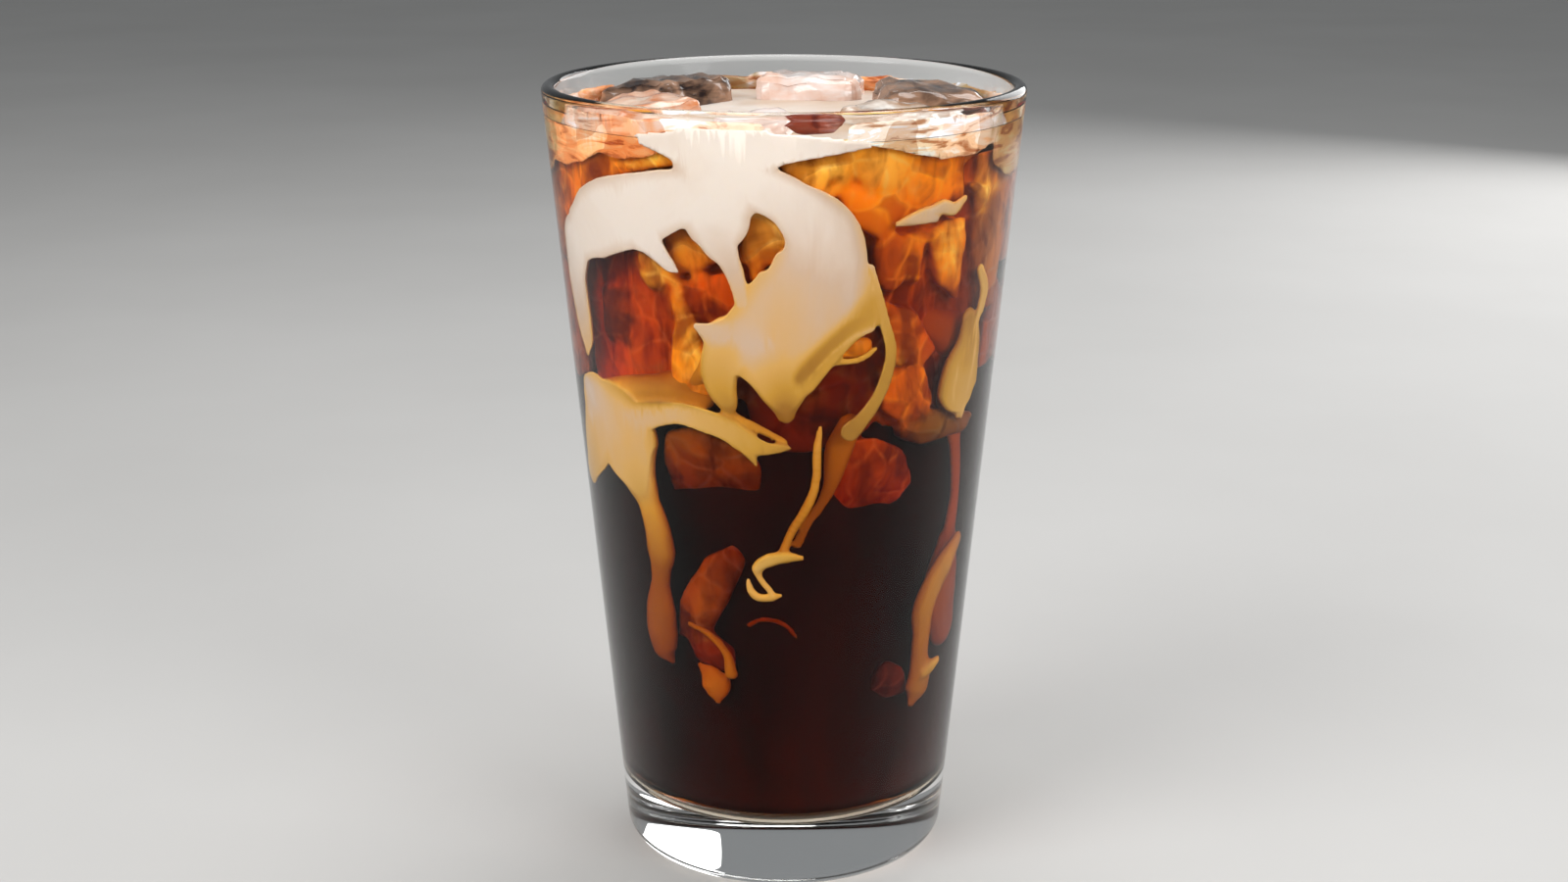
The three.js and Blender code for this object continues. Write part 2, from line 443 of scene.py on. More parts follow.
    def bump(self, source: NodeSocket, relief: Relief) -> None:
        """Raises the surface a little by a value."""
        node = self.tree.nodes.new("ShaderNodeBump")
        node.inputs["Strength"].default_value = relief.strength
        node.inputs["Distance"].default_value = relief.height
        self.link(source, node.inputs["Height"])
        self.feed(Socket.NORMAL, node.outputs["Normal"])

    def soften(self, glow: Glow) -> None:
        """Lets light spread under the surface."""
        self.set(Socket.SUBSURFACE, glow.weight)
        self.set(Socket.SUBSURFACE_RADIUS, glow.reach)
        self.set(Socket.SUBSURFACE_SCALE, glow.scale)

    def clear_shadow(self) -> None:
        """Lets light pass straight to what lies inside a clear piece."""
        path = self.tree.nodes.new("ShaderNodeLightPath")
        through = self.tree.nodes.new("ShaderNodeBsdfTransparent")
        mix = self.tree.nodes.new("ShaderNodeMixShader")
        self.link(path.outputs["Is Shadow Ray"], mix.inputs["Fac"])
        self.link(self.surface.outputs["BSDF"], mix.inputs[1])
        self.link(through.outputs["BSDF"], mix.inputs[2])
        self.link(mix.outputs["Shader"], self.output.inputs["Surface"])

    def absorb(self, colour: Colour, density: float) -> None:
        """Fills the piece with a clear stain."""
        volume = self.tree.nodes.new("ShaderNodeVolumeAbsorption")
        volume.inputs["Color"].default_value = (*colour, 1)
        volume.inputs["Density"].default_value = density
        self.link(volume.outputs["Volume"], self.output.inputs["Volume"])


@dataclass(frozen=True)
class ClearGlass:
    """Polished soda-lime glass with the faintest smears; wetted glass hardly mirrors."""

    name: str
    mirror: float
    ior: float = 1.5
    smear: Grain = Grain(scale=60, detail=3)
    smear_roughness: tuple[float, float] = (0.0, 0.02)
    tints: tuple[Colour, Colour] = ((0.97, 0.985, 0.98), WHITE)

    def material(self) -> Material:
        """Makes the material."""
        shader = Shader(self.name)
        smear = shader.grain(self.smear)
        shader.feed(Socket.COLOUR, shader.two_tone(smear, self.tints))
        shader.feed(Socket.ROUGHNESS, shader.spread(smear, *self.smear_roughness))
        shader.set(Socket.TRANSMISSION, 1.0)
        shader.set(Socket.IOR, self.ior)
        shader.set(Socket.SPECULAR_TINT, (self.mirror, self.mirror, self.mirror, 1))
        shader.clear_shadow()
        return shader.material


@dataclass(frozen=True)
class ColdBrew:
    """Clear strong coffee: gold in a thin film, red-brown deeper, near black through the glass."""

    ior: float = 1.33
    mirror: float = 0.05
    stain: Colour = (0.875, 0.61, 0.0)
    stain_density: float = 560
    ripple: Grain = Grain(scale=90, detail=2)
    ripple_relief: Relief = Relief(strength=0.15, height=0.12 * MM)
    tints: tuple[Colour, Colour] = ((1.0, 0.97, 0.93), WHITE)

    def material(self) -> Material:
        """Makes the material."""
        shader = Shader("cold_brew_coffee")
        ripple = shader.grain(self.ripple)
        shader.feed(Socket.COLOUR, shader.two_tone(ripple, self.tints))
        shader.set(Socket.ROUGHNESS, 0.0)
        shader.set(Socket.TRANSMISSION, 1.0)
        shader.set(Socket.IOR, self.ior)
        shader.set(Socket.SPECULAR_TINT, (self.mirror, self.mirror, self.mirror, 1))
        shader.bump(ripple, self.ripple_relief)
        shader.clear_shadow()
        shader.absorb(self.stain, self.stain_density)
        return shader.material


@dataclass(frozen=True)
class PaintedShadeCore:
    """Painted shade: an opaque near-black body inside the drink that stands in for the darkness of deep
    coffee.
    """

    tints: tuple[Colour, Colour] = ((0.010, 0.001, 0.001), (0.034, 0.003, 0.002))
    tint_stops: tuple[float, float] = (0.35, 0.65)
    cloud: Grain = Grain(scale=40, detail=3, stretch=(1, 1, 0.5), swirl=1)
    roughness: float = 0.9

    def material(self) -> Material:
        """Makes the material."""
        shader = Shader("painted_shade_core")
        cloud = shader.grain(self.cloud)
        shader.feed(Socket.COLOUR, shader.two_tone(cloud, self.tints, self.tint_stops))
        shader.set(Socket.ROUGHNESS, self.roughness)
        shader.set(Socket.SPECULAR, 0.0)
        return shader.material


@dataclass(frozen=True)
class SweetCream:
    """Smooth cream, white where thick, then tan, gold and amber where coffee has run into it; the greyish tan
    is partly painted shade.
    """

    stain_name: str = "stain"
    stops: tuple[tuple[float, Colour], ...] = (
        (0.0, (0.77, 0.68, 0.60)),
        # Partly real stain, partly painted shade: this stop is greyed to darken the cream where it lies in
        # shade, as on the right of the body.
        (0.25, (0.60, 0.44, 0.32)),
        (0.5, (0.66, 0.38, 0.11)),
        (0.75, (0.55, 0.29, 0.04)),
        (1.0, (0.34, 0.15, 0.02)),
    )
    cloud: Grain = Grain(scale=60, detail=5, stretch=(1, 1, 0.6), swirl=1.2)
    cloud_share: float = 0.14
    fold: Grain = Grain(scale=220, detail=3, stretch=(1, 1, 0.4), swirl=0.8)
    fold_relief: Relief = Relief(strength=0.2, height=0.25 * MM)
    roughness: float = 0.4
    specular: float = 0.1
    glow: Glow = Glow(weight=0.1, reach=(1.0, 0.7, 0.4), scale=1.0 * MM)

    def material(self) -> Material:
        """Makes the material."""
        shader = Shader("sweet_cream")
        cloud = shader.grain(self.cloud)
        stained = shader.blend(shader.attribute(self.stain_name), cloud, self.cloud_share)
        shader.feed(Socket.COLOUR, shader.ramp(stained, self.stops))
        shader.set(Socket.ROUGHNESS, self.roughness)
        shader.set(Socket.SPECULAR, self.specular)
        shader.soften(self.glow)
        shader.bump(shader.grain(self.fold), self.fold_relief)
        return shader.material


@dataclass(frozen=True)
class MilkyIce:
    """Cracked ice clouded with cream and coffee, in tones stored on its vertices, with painted highlights
    along its cracks.
    """

    tone_name: str = "tone"
    # Random clouding of the ice; its bright end passes white, a painted glow of light coming through the ice.
    shades: tuple[Colour, Colour] = ((0.42, 0.31, 0.24), (1.15, 1.25, 1.3))
    shade_stops: tuple[float, float] = (0.3, 0.6)
    cell_shades: tuple[Colour, Colour] = ((0.66, 0.56, 0.48), (1.05, 1.08, 1.1))
    cell_scale: float = 140
    cell_swirl: float = 7 * MM
    # Painted highlight: the colour that bright lines along the cracks are turned towards.
    painted_highlight: Colour = (1.15, 1.7, 3.4)
    crack_highlights: tuple[Colour, Colour] = ((0.8, 0.8, 0.8), BLACK)
    crack_stops: tuple[float, float] = (0.0, 0.09)
    cloud: Grain = Grain(scale=90, detail=4, swirl=1.2)
    streak: Grain = Grain(scale=260, detail=4, stretch=(1, 1, 0.3), swirl=0.6)
    streak_share: float = 0.45
    streak_stops: tuple[float, float] = (0.4, 0.6)
    streak_relief: Relief = Relief(strength=0.3, height=0.5 * MM)
    roughness: float = 0.3
    specular: float = 0.1
    glow: Glow = Glow(weight=0.1, reach=(1.0, 0.6, 0.3), scale=2.0 * MM)

    def material(self) -> Material:
        """Makes the material."""
        shader = Shader("milky_ice")
        cloud = shader.grain(self.cloud)
        streak = shader.grain(self.streak)
        clouded = shader.blend(cloud, streak, self.streak_share)
        shade = shader.two_tone(clouded, self.shades, self.shade_stops)
        swirled = shader.swirled(self.cloud.scale, self.cell_swirl)
        chance = shader.cells(self.cell_scale, swirled, CellLook.CHANCE)
        shade = shader.tinted(shade, shader.two_tone(chance, self.cell_shades))
        # Painted highlight: bright lines along the cracks, where the streaks are strong.
        crack = shader.cells(self.cell_scale, swirled, CellLook.CRACK)
        bright = shader.tinted(
            shader.two_tone(crack, self.crack_highlights, self.crack_stops),
            shader.two_tone(streak, (BLACK, WHITE), self.streak_stops),
        )
        shade = shader.mixed(shade, self.painted_highlight, bright)
        shader.feed(Socket.COLOUR, shader.tinted(shader.attribute(self.tone_name, "Color"), shade))
        shader.set(Socket.ROUGHNESS, self.roughness)
        shader.set(Socket.SPECULAR, self.specular)
        shader.soften(self.glow)
        shader.bump(streak, self.streak_relief)
        return shader.material


@dataclass(frozen=True)
class FrostyIce:
    """Frosted ice against the glass in feathery streaks, in tones stored on its vertices."""

    tone_name: str = "tone"
    feather: Grain = Grain(scale=420, detail=5, stretch=(0.22, 0.22, 1), swirl=1.4)
    feather_shades: tuple[tuple[float, Colour], ...] = (
        (0.36, (0.5, 0.27, 0.15)),
        (0.45, WHITE),
        (0.51, WHITE),
        (0.58, (1.02, 1.4, 2.0)),
    )
    feather_relief: Relief = Relief(strength=0.5, height=0.4 * MM)
    cell_scale: float = 130
    cell_swirl: float = 6 * MM
    cell_shades: tuple[Colour, Colour] = ((0.72, 0.58, 0.48), WHITE)
    roughness: tuple[float, float] = (0.1, 0.5)
    specular: float = 0.3
    glow: Glow = Glow(weight=0.1, reach=(1.0, 0.7, 0.5), scale=1.0 * MM)

    def material(self) -> Material:
        """Makes the material."""
        shader = Shader("frosty_ice")
        feather = shader.grain(self.feather)
        shade = shader.ramp(feather, self.feather_shades)
        swirled = shader.swirled(self.cell_scale, self.cell_swirl)
        chance = shader.cells(self.cell_scale, swirled, CellLook.CHANCE)
        shade = shader.tinted(shade, shader.two_tone(chance, self.cell_shades))
        shader.feed(Socket.COLOUR, shader.tinted(shader.attribute(self.tone_name, "Color"), shade))
        shader.feed(Socket.ROUGHNESS, shader.spread(feather, *self.roughness))
        shader.set(Socket.SPECULAR, self.specular)
        shader.soften(self.glow)
        shader.bump(feather, self.feather_relief)
        return shader.material


@dataclass(frozen=True)
class WetIce:
    """Ice that breaks the surface: part clear, stained, with a wet skin."""

    name: str
    light: Colour
    dark: Colour
    shade_stops: tuple[float, float] = (0.3, 0.66)
    clearness: float = 0.12
    ior: float = 1.31
    cloud: Grain = Grain(scale=85, detail=5, swirl=1.5)
    streak: Grain = Grain(scale=320, detail=5, stretch=(0.35, 0.35, 1), swirl=1.0)
    streak_share: float = 0.5
    streak_relief: Relief = Relief(strength=0.35, height=0.5 * MM)
    roughness: tuple[float, float] = (0.04, 0.25)
    wet_skin: float = 0.6
    wet_roughness: float = 0.04

    def material(self) -> Material:
        """Makes the material."""
        shader = Shader(self.name)
        cloud = shader.grain(self.cloud)
        streak = shader.grain(self.streak)
        clouded = shader.blend(cloud, streak, self.streak_share)
        shader.feed(Socket.COLOUR, shader.two_tone(clouded, (self.dark, self.light), self.shade_stops))
        shader.feed(Socket.ROUGHNESS, shader.spread(cloud, *self.roughness))
        shader.set(Socket.TRANSMISSION, self.clearness)
        shader.set(Socket.IOR, self.ior)
        shader.set(Socket.COAT, self.wet_skin)
        shader.set(Socket.COAT_ROUGHNESS, self.wet_roughness)
        shader.bump(streak, self.streak_relief)
        return shader.material


@dataclass(frozen=True)
class PaleFloor:
    """Matte pale studio floor."""

    tints: tuple[Colour, Colour] = ((0.56, 0.55, 0.535), (0.60, 0.59, 0.575))
    cloud: Grain = Grain(scale=6, detail=4)
    roughness: float = 0.7

    def material(self) -> Material:
        """Makes the material."""
        shader = Shader("pale_floor")
        shader.feed(Socket.COLOUR, shader.two_tone(shader.grain(self.cloud), self.tints))
        shader.set(Socket.ROUGHNESS, self.roughness)
        return shader.material


# The tumbler


@dataclass
class Tumbler:
    """The clear conical pint glass; sizes in millimetres."""

    height: float = 148
    rim_radius: float = 44.45
    foot_radius: float = 30.6
    heel_round: float = 5
    wall_at_rim: float = 2.6
    wall_at_foot: float = 3.8
    base_thickness: float = 12.5
    well_round: float = 6
    drink_line: float = 142.6
    turn_steps: int = 160
    round_steps: int = 10
    wall_steps: int = 6
    crease_angle: float = 35
    wetted_reach: float = 1
    dry: ClearGlass = ClearGlass("clear_glass", mirror=0.2)
    wetted: ClearGlass = ClearGlass("wetted_glass", mirror=0.0)

    def outer_radius(self, height: float) -> float:
        """The outer wall's radius at a height."""
        return self.foot_radius + (self.rim_radius - self.foot_radius) * height / self.height

    def inner_radius(self, height: float) -> float:
        """The inner wall's radius at a height."""
        wall = self.wall_at_foot + (self.wall_at_rim - self.wall_at_foot) * height / self.height
        return self.outer_radius(height) - wall

    def lean(self, radius: Callable[[float], float]) -> float:
        """A wall's lean from upright, in degrees."""
        return math.degrees(math.atan2(radius(self.height) - radius(0), self.height))

    def well_rings(self, reach: float, top: float) -> list[Ring]:
        """Rings of the inner well from its floor up to a height.

        Args:
            reach: how far the rings go past the inner wall into the glass.
            top: the last ring's height.

        Returns:
            Rings in millimetres.
        """
        floor = self.base_thickness - reach
        turn = self.well_round + reach
        lean = self.lean(self.inner_radius)
        turn_height = floor + turn
        middle = self.inner_radius(turn_height) + reach - turn / math.cos(math.radians(lean))
        rings = round_rings((middle, turn_height), turn, -90, -lean, self.round_steps)
        start = rings[-1][1]
        for step in range(1, self.wall_steps + 1):
            height = start + (top - start) * step / self.wall_steps
            rings.append((self.inner_radius(height) + reach, height))
        return rings

    def wall_point(self, degrees: float, height: float, depth: float) -> Vector:
        """A place inside the glass.

        Args:
            degrees: angle round from the front.
            height: height over the table, in millimetres.
            depth: distance in from the inner wall, in millimetres.

        Returns:
            The place in metres.
        """
        angle = math.radians(degrees)
        radius = self.inner_radius(height) - depth
        return Vector((radius * math.sin(angle), -radius * math.cos(angle), height)) * MM

    def depth_of(self, place: Vector) -> float:
        """How far a place lies in from the inner wall, in millimetres."""
        return self.inner_radius(place.z / MM) - math.hypot(place.x, place.y) / MM

    def at_depth(self, place: Vector, depth: float) -> Vector:
        """The same place moved level to a depth from the inner wall."""
        radius = math.hypot(place.x, place.y)
        scale = (self.inner_radius(place.z / MM) - depth) * MM / radius
        return Vector((place.x * scale, place.y * scale, place.z))

    def is_wetted(self, place: Vector) -> bool:
        """Whether a place on the glass touches the drink."""
        in_drink = self.base_thickness / 2 < place.z / MM < self.drink_line
        return in_drink and self.depth_of(place) > -self.wetted_reach

    def build(self) -> Piece:
        """Turns the glass.

        Returns:
            The glass piece.
        """
        lip = self.wall_at_rim / 2
        lip_height = self.height - lip
        lean = self.lean(self.outer_radius)
        heel_middle = self.outer_radius(self.heel_round) - self.heel_round / math.cos(math.radians(lean))
        heel = round_rings((heel_middle, self.heel_round), self.heel_round, -90, -lean, self.round_steps)
        edge = round_rings((self.outer_radius(lip_height) - lip, lip_height), lip, 0, 180, self.round_steps)
        start = heel[-1][1]
        wall = []
        for step in range(1, self.wall_steps):
            height = start + (lip_height - start) * step / self.wall_steps
            wall.append((self.outer_radius(height), height))
        rings = heel + wall + edge + self.well_rings(0, self.drink_line)[::-1]
        places = [(radius * MM, height * MM) for radius, height in rings]
        glass = turn_rings("tumbler_glass", places, self.turn_steps)
        smooth_shade(glass, self.crease_angle)
        return glass

    def dress(self, glass: Piece) -> None:
        """Gives the glass its finishes and place."""
        coat(glass, self.dry.material())
        glass.data.materials.append(self.wetted.material())
        for face in glass.data.polygons:
            face.material_index = int(self.is_wetted(face.center))
        place_piece(glass, ["glass"])


# The cream


@dataclass(frozen=True)
class Bead:
    """A control point of a strand: degrees round from the front, height and half width in millimetres."""

    angle: float
    height: float
    half: float


@dataclass(frozen=True)
class Strand:
    """A strand of cream through its beads.

    Its middle line runs from one depth in from the wall to another, a share of its round thickness is kept,
    and its stain runs from the first bead's to the last bead's.
    """

    name: str
    beads: tuple[Bead, ...]
    depths: tuple[float, float]
    flat: float
    stain: tuple[float, float]


@dataclass(frozen=True)
class Course:
    """Points along a strand: places and half widths in metres, stains, and depths in millimetres."""

    places: np.ndarray
    halves: np.ndarray
    stains: np.ndarray
    depths: np.ndarray


def strand(
    name: str,
    *beads: tuple[float, float, float],
    depth: float = 0,
    sink: float | None = None,
    flat: float = 0.6,
    stain: tuple[float, float] = (0, 0),
) -> Strand:
    """Makes a strand from (angle, height, half width) triples; it ends as deep as it starts, or at sink."""
    depths = (depth, depth if sink is None else sink)
    return Strand(name, tuple(Bead(*bead) for bead in beads), depths, flat, stain)


CREAM_STRANDS = (
    strand("column", (-14.6, 140.5, 8.6), (-14.7, 137.5, 7.8), (-14.9, 134.5, 6.6)),
    strand(
        "left_arm",
        (-15, 133, 5.7), (-26.2, 132.6, 5), (-37.1, 130.1, 6.3), (-47.3, 128.2, 6.6), (-55, 126, 6.4),
        (-61, 123.8, 5),
        stain=(0, 0.06),
    ),
    strand(
        "left_drip",
        (-65.5, 121.3, 5), (-67.4, 115.3, 3.8), (-66.7, 110.8, 3.4), (-65.8, 106.7, 3), (-65.1, 103.7, 2.3),
        (-65.6, 101.1, 0.7),
        stain=(0.05, 0.5),
    ),
    strand(
        "middle_drip",
        (-37.4, 127.6, 4.8), (-34.3, 124.4, 2.4), (-31.4, 122.2, 1.5), (-29, 120.6, 1.1),
        (-27.2, 119.7, 0.3),
        stain=(0, 0.12),
    ),
    strand(
        "hole_strand",
        (-16.4, 129.9, 5.8), (-15.9, 125.8, 3.4), (-13.4, 122.3, 1.8), (-11.6, 118.9, 1.4),
        (-10.5, 115.2, 1.1),
        stain=(0, 0.35),
    ),
    strand(
        "right_body",
        (-8.4, 136, 3.8), (1.6, 132.4, 4.1), (9, 126.4, 6.7), (8.9, 120.5, 8.3), (6.8, 115.8, 10),
        (2, 111.9, 9.6), (-2.5, 108.6, 8.8),
        stain=(0.0, 0.4),
    ),
    strand(
        "shoulder",
        (-22.6, 110.3, 0.6), (-18.2, 109, 2.3), (-12.5, 108.1, 4.2), (-3.7, 108, 7.6),
        stain=(0.3, 0.24),
    ),
    strand(
        "left_lobe",
        (-13.1, 107.4, 5.2), (-17, 103.2, 3.5), (-16.9, 99.6, 2.8), (-15.2, 96.6, 1.9), (-14.2, 94.3, 0.5),
        depth=0.5, flat=0.4, stain=(0.45, 1),
    ),
    strand(
        "right_lobe",
        (-2.5, 106.9, 7.6), (-0.8, 102.1, 6), (0, 98.2, 3.9), (0.5, 94.9, 1.6),
        depth=0.6, flat=0.4, stain=(0.35, 1.2),
    ),
    strand(
        "ribbed_arm",
        (3.8, 101.6, 3.4), (9.6, 105.9, 3.1), (15.5, 109.8, 2.8), (21.1, 112.7, 2.9), (23, 115.7, 1.4),
        depth=0.4, flat=0.5, stain=(1, 0.75),
    ),
    strand(
        "loop_strand",
        (21.5, 120.5, 0.8), (24, 115.7, 0.8), (26.4, 110.6, 0.9), (28.7, 105.5, 1), (28, 101.2, 1.1),
        (25.7, 97.2, 1.1), (21.5, 93.3, 1.3), (18.3, 91.3, 1.7),
        stain=(0.6, 1),
    ),
    strand(
        "ribbon",
        (19.3, 91.8, 2.2), (16.4, 87.8, 2.5), (15.2, 84.2, 1.9), (14.1, 81.2, 1.3), (11.4, 77.6, 0.9),
        (7.4, 74.2, 0.8), (4, 69.9, 0.8),
        depth=3, sink=2.2, flat=0.4, stain=(0.85, 1.15),
    ),
    strand(
        "low_sheet",
        (-63.1, 91.2, 6.2), (-52.5, 88.3, 8.6), (-50, 83.7, 7.4), (-46.8, 79.3, 4.1), (-44.3, 75.5, 2.6),
        (-42.1, 70.4, 2.9), (-41.8, 65.9, 3.1), (-42.9, 62.2, 2.1), (-43.9, 59.4, 2), (-45.4, 54.1, 3.3),
        (-46.4, 49.4, 3.5), (-45.9, 45.5, 2.8), (-43.6, 43.7, 0.8),
        sink=3.8, flat=0.4, stain=(0.3, 1.5),
    ),
    strand("low_edge", (-62.1, 89.1, 6.8), (-69.1, 82.5, 5.2), (-75, 77, 2.6), stain=(0.4, 0.65)),
    strand(
        "low_branch",
        (-48.4, 90.7, 3), (-30.3, 93.8, 1.9), (-22.1, 93.1, 2.1), (-15.5, 91.7, 2), (-9.6, 89.3, 1.9),
        (-4, 88.5, 1), (1.6, 88.7, 0.3),
        stain=(0.3, 0.95),
    ),
    strand(
        "right_drip",
        (57.3, 108.4, 2), (58.6, 104, 3.8), (57, 99.2, 5.4), (56.4, 95.4, 5.8), (57, 92.6, 3.8),
        (57.4, 90.8, 1.1),
        depth=0.6, flat=0.45, stain=(0.95, 0.5),
    ),
    strand(
        "right_strand",
        (67.7, 64.4, 1.6), (60.9, 60.7, 2.9), (56.2, 57.7, 2.9), (52.2, 53, 2.8), (52.5, 48.4, 2.2),
        (52.8, 43.4, 2.1), (54, 39.1, 2.9), (53.2, 36.5, 3), (51.2, 34.2, 1),
        depth=1.6, sink=2.2, flat=0.45, stain=(0.85, 1.05),
    ),
    strand(
        "low_bridge",
        (-16.6, 105.5, 3.6), (-26.6, 100.2, 2.8), (-38, 96.7, 3.4), (-56.9, 93.2, 3.4),
        depth=3.4, flat=0.8, stain=(0.9, 0.95),
    ),
    strand(
        "right_bridge",
        (6, 116, 5), (24, 113, 2.6), (42, 110, 2.4), (56, 106, 4.6),
        depth=6, stain=(0.8, 0.8),
    ),
    strand(
        "right_tail",
        (58, 94, 3.4), (64, 84, 1.6), (68, 74, 1.4), (67, 65, 2),
        depth=4.2, flat=0.4, stain=(0.8, 0.8),
    ),
)

FINE_STRANDS = (
    strand("flare_right", (-9, 139.4, 2.2), (1, 140.8, 1.4), (12, 141.6, 0.9), (20, 142, 0.4)),
    strand("flare_left", (-21, 139.4, 2), (-28, 141, 1.2), (-35, 142, 0.5)),
    strand(
        "second",
        (10, 92.1, 0.4), (9.2, 88.1, 0.7), (9, 81.6, 0.7), (7.2, 77.9, 0.8), (2, 72.2, 0.7),
        (-0.4, 68.4, 0.7),
        depth=0.8, sink=1.3, stain=(0.6, 0.9),
    ),
    strand(
        "hook",
        (4.9, 67.6, 0.5), (0.9, 67.8, 1), (-4.3, 67.2, 1.2), (-7.8, 65.6, 1), (-7.6, 64.1, 0.5),
        (-4.1, 61.1, 0.5), (-3, 60, 0.4),
        depth=0.4, stain=(0.8, 0.45),
    ),
    strand(
        "curl",
        (-10.9, 63.1, 0.4), (-10.1, 61.2, 0.6), (-8, 59.9, 0.7), (-4.1, 59.8, 0.6), (-1.2, 60.4, 0.4),
        depth=0.4, stain=(0.5, 0.7),
    ),
    strand("low_tip", (-11.2, 89.5, 1.5), (-7.6, 85.5, 0.3), stain=(0.75, 0.9)),
    strand(
        "right_sheet",
        (67.7, 64.4, 3), (67.4, 58.6, 5), (67.9, 52.6, 5.5), (72.5, 46.6, 4),
        depth=4.6, flat=0.35, stain=(0.95, 0.95),
    ),
    strand(
        "patch",
        (28.2, 128, 0.4), (32.5, 128.6, 1.1), (36.5, 129, 1.5), (39.5, 128.4, 0.9),
        depth=0.4, stain=(0.45, 0.3),
    ),
    strand(
        "patch_end",
        (37.5, 129.7, 0.8), (42, 130.1, 1.3), (45.5, 129.5, 1.2), (49.4, 131, 0.6),
        depth=0.4, stain=(0.3, 0.45),
    ),
    strand(
        "blob",
        (-30.4, 44.2, 0.6), (-27.3, 42.9, 1.9), (-25, 41, 2.9), (-24.5, 38.8, 1.9), (-24.3, 37.4, 0.5),
        depth=3.2, flat=0.4, stain=(0.9, 0.6),
    ),
    strand(
        "collar",
        (-36, 142.8, 0.5), (-26, 142.9, 1.2), (-12, 143.2, 1.5), (2, 143, 1.2), (12, 142.8, 0.6),
        (20, 142.6, 0.3),
        flat=0.3, stain=(0.25, 0.25),
    ),
    strand(
        "wedge",
        (-32.9, 52.6, 0.4), (-25.3, 51, 0.6), (-19.6, 47.6, 0.7), (-18.3, 43.7, 1.1),
        depth=2.2, stain=(0.9, 0.9),
    ),
    strand(
        "swath",
        (-66.2, 93.3, 2.4), (-47.2, 96, 3), (-33, 97.5, 2.6), (-22.7, 96.5, 1.6),
        depth=2.4, flat=0.7, stain=(0.8, 1),
    ),
    strand(
        "under_line",
        (-16.4, 95.1, 0.5), (-9.2, 92.8, 0.7), (-4, 91.1, 0.6), (0.5, 89.7, 0.4),
        depth=0.8, stain=(0.9, 0.9),
    ),
    strand(
        "right_branch",
        (53.9, 39.8, 1), (57.6, 40.5, 1.4), (61.8, 41.1, 0.8),
        depth=0.8, stain=(0.8, 0.8),
    ),
    strand(
        "edge_line",
        (60.1, 117.1, 1), (63.8, 113, 1.4), (62.8, 109.5, 1.2),
        depth=0.3, stain=(0.6, 0.6),
    ),
    strand(
        "drip_streak",
        (62.6, 110, 0.7), (59.4, 105.5, 1), (54.6, 101, 0.9), (52.4, 96.5, 0.8), (53.4, 93, 0.5),
        stain=(0.5, 0.3),
    ),
    strand(
        "drip_streak_right",
        (61, 107.5, 0.6), (61.8, 102, 0.9), (60.6, 97, 0.9), (59, 92, 0.7), (58.2, 90, 0.4),
        stain=(0.45, 0.35),
    ),
    strand("left_patch", (-68.1, 94, 2.4), (-65.6, 91.6, 3.4), (-68.3, 88.7, 2.4), stain=(0.2, 0.3)),
    strand(
        "rib_upper",
        (0, 102, 0.5), (4.5, 105.5, 0.6), (10.5, 109.3, 0.7), (16.4, 111.9, 0.7), (21.1, 113, 0.5),
        stain=(0.55, 0.4),
    ),
    strand(
        "rib_lower",
        (3.1, 99.1, 0.5), (8.1, 102.9, 0.6), (12.6, 106.2, 0.7), (18.2, 109, 0.7), (22.9, 109.8, 0.5),
        stain=(0.5, 0.4),
    ),
    strand(
        "hole_rim",
        (10.6, 104.1, 0.4), (15.8, 104.1, 0.5), (21.2, 104.7, 0.5), (24.3, 106.1, 0.4),
        depth=0.4, stain=(0.9, 0.8),
    ),
    strand(
        "low_line",
        (-12.9, 52.9, 0.4), (-7.6, 54.1, 0.4), (0, 53.2, 0.4), (4.6, 50.6, 0.3),
        depth=6, stain=(0.9, 0.9),
    ),
)


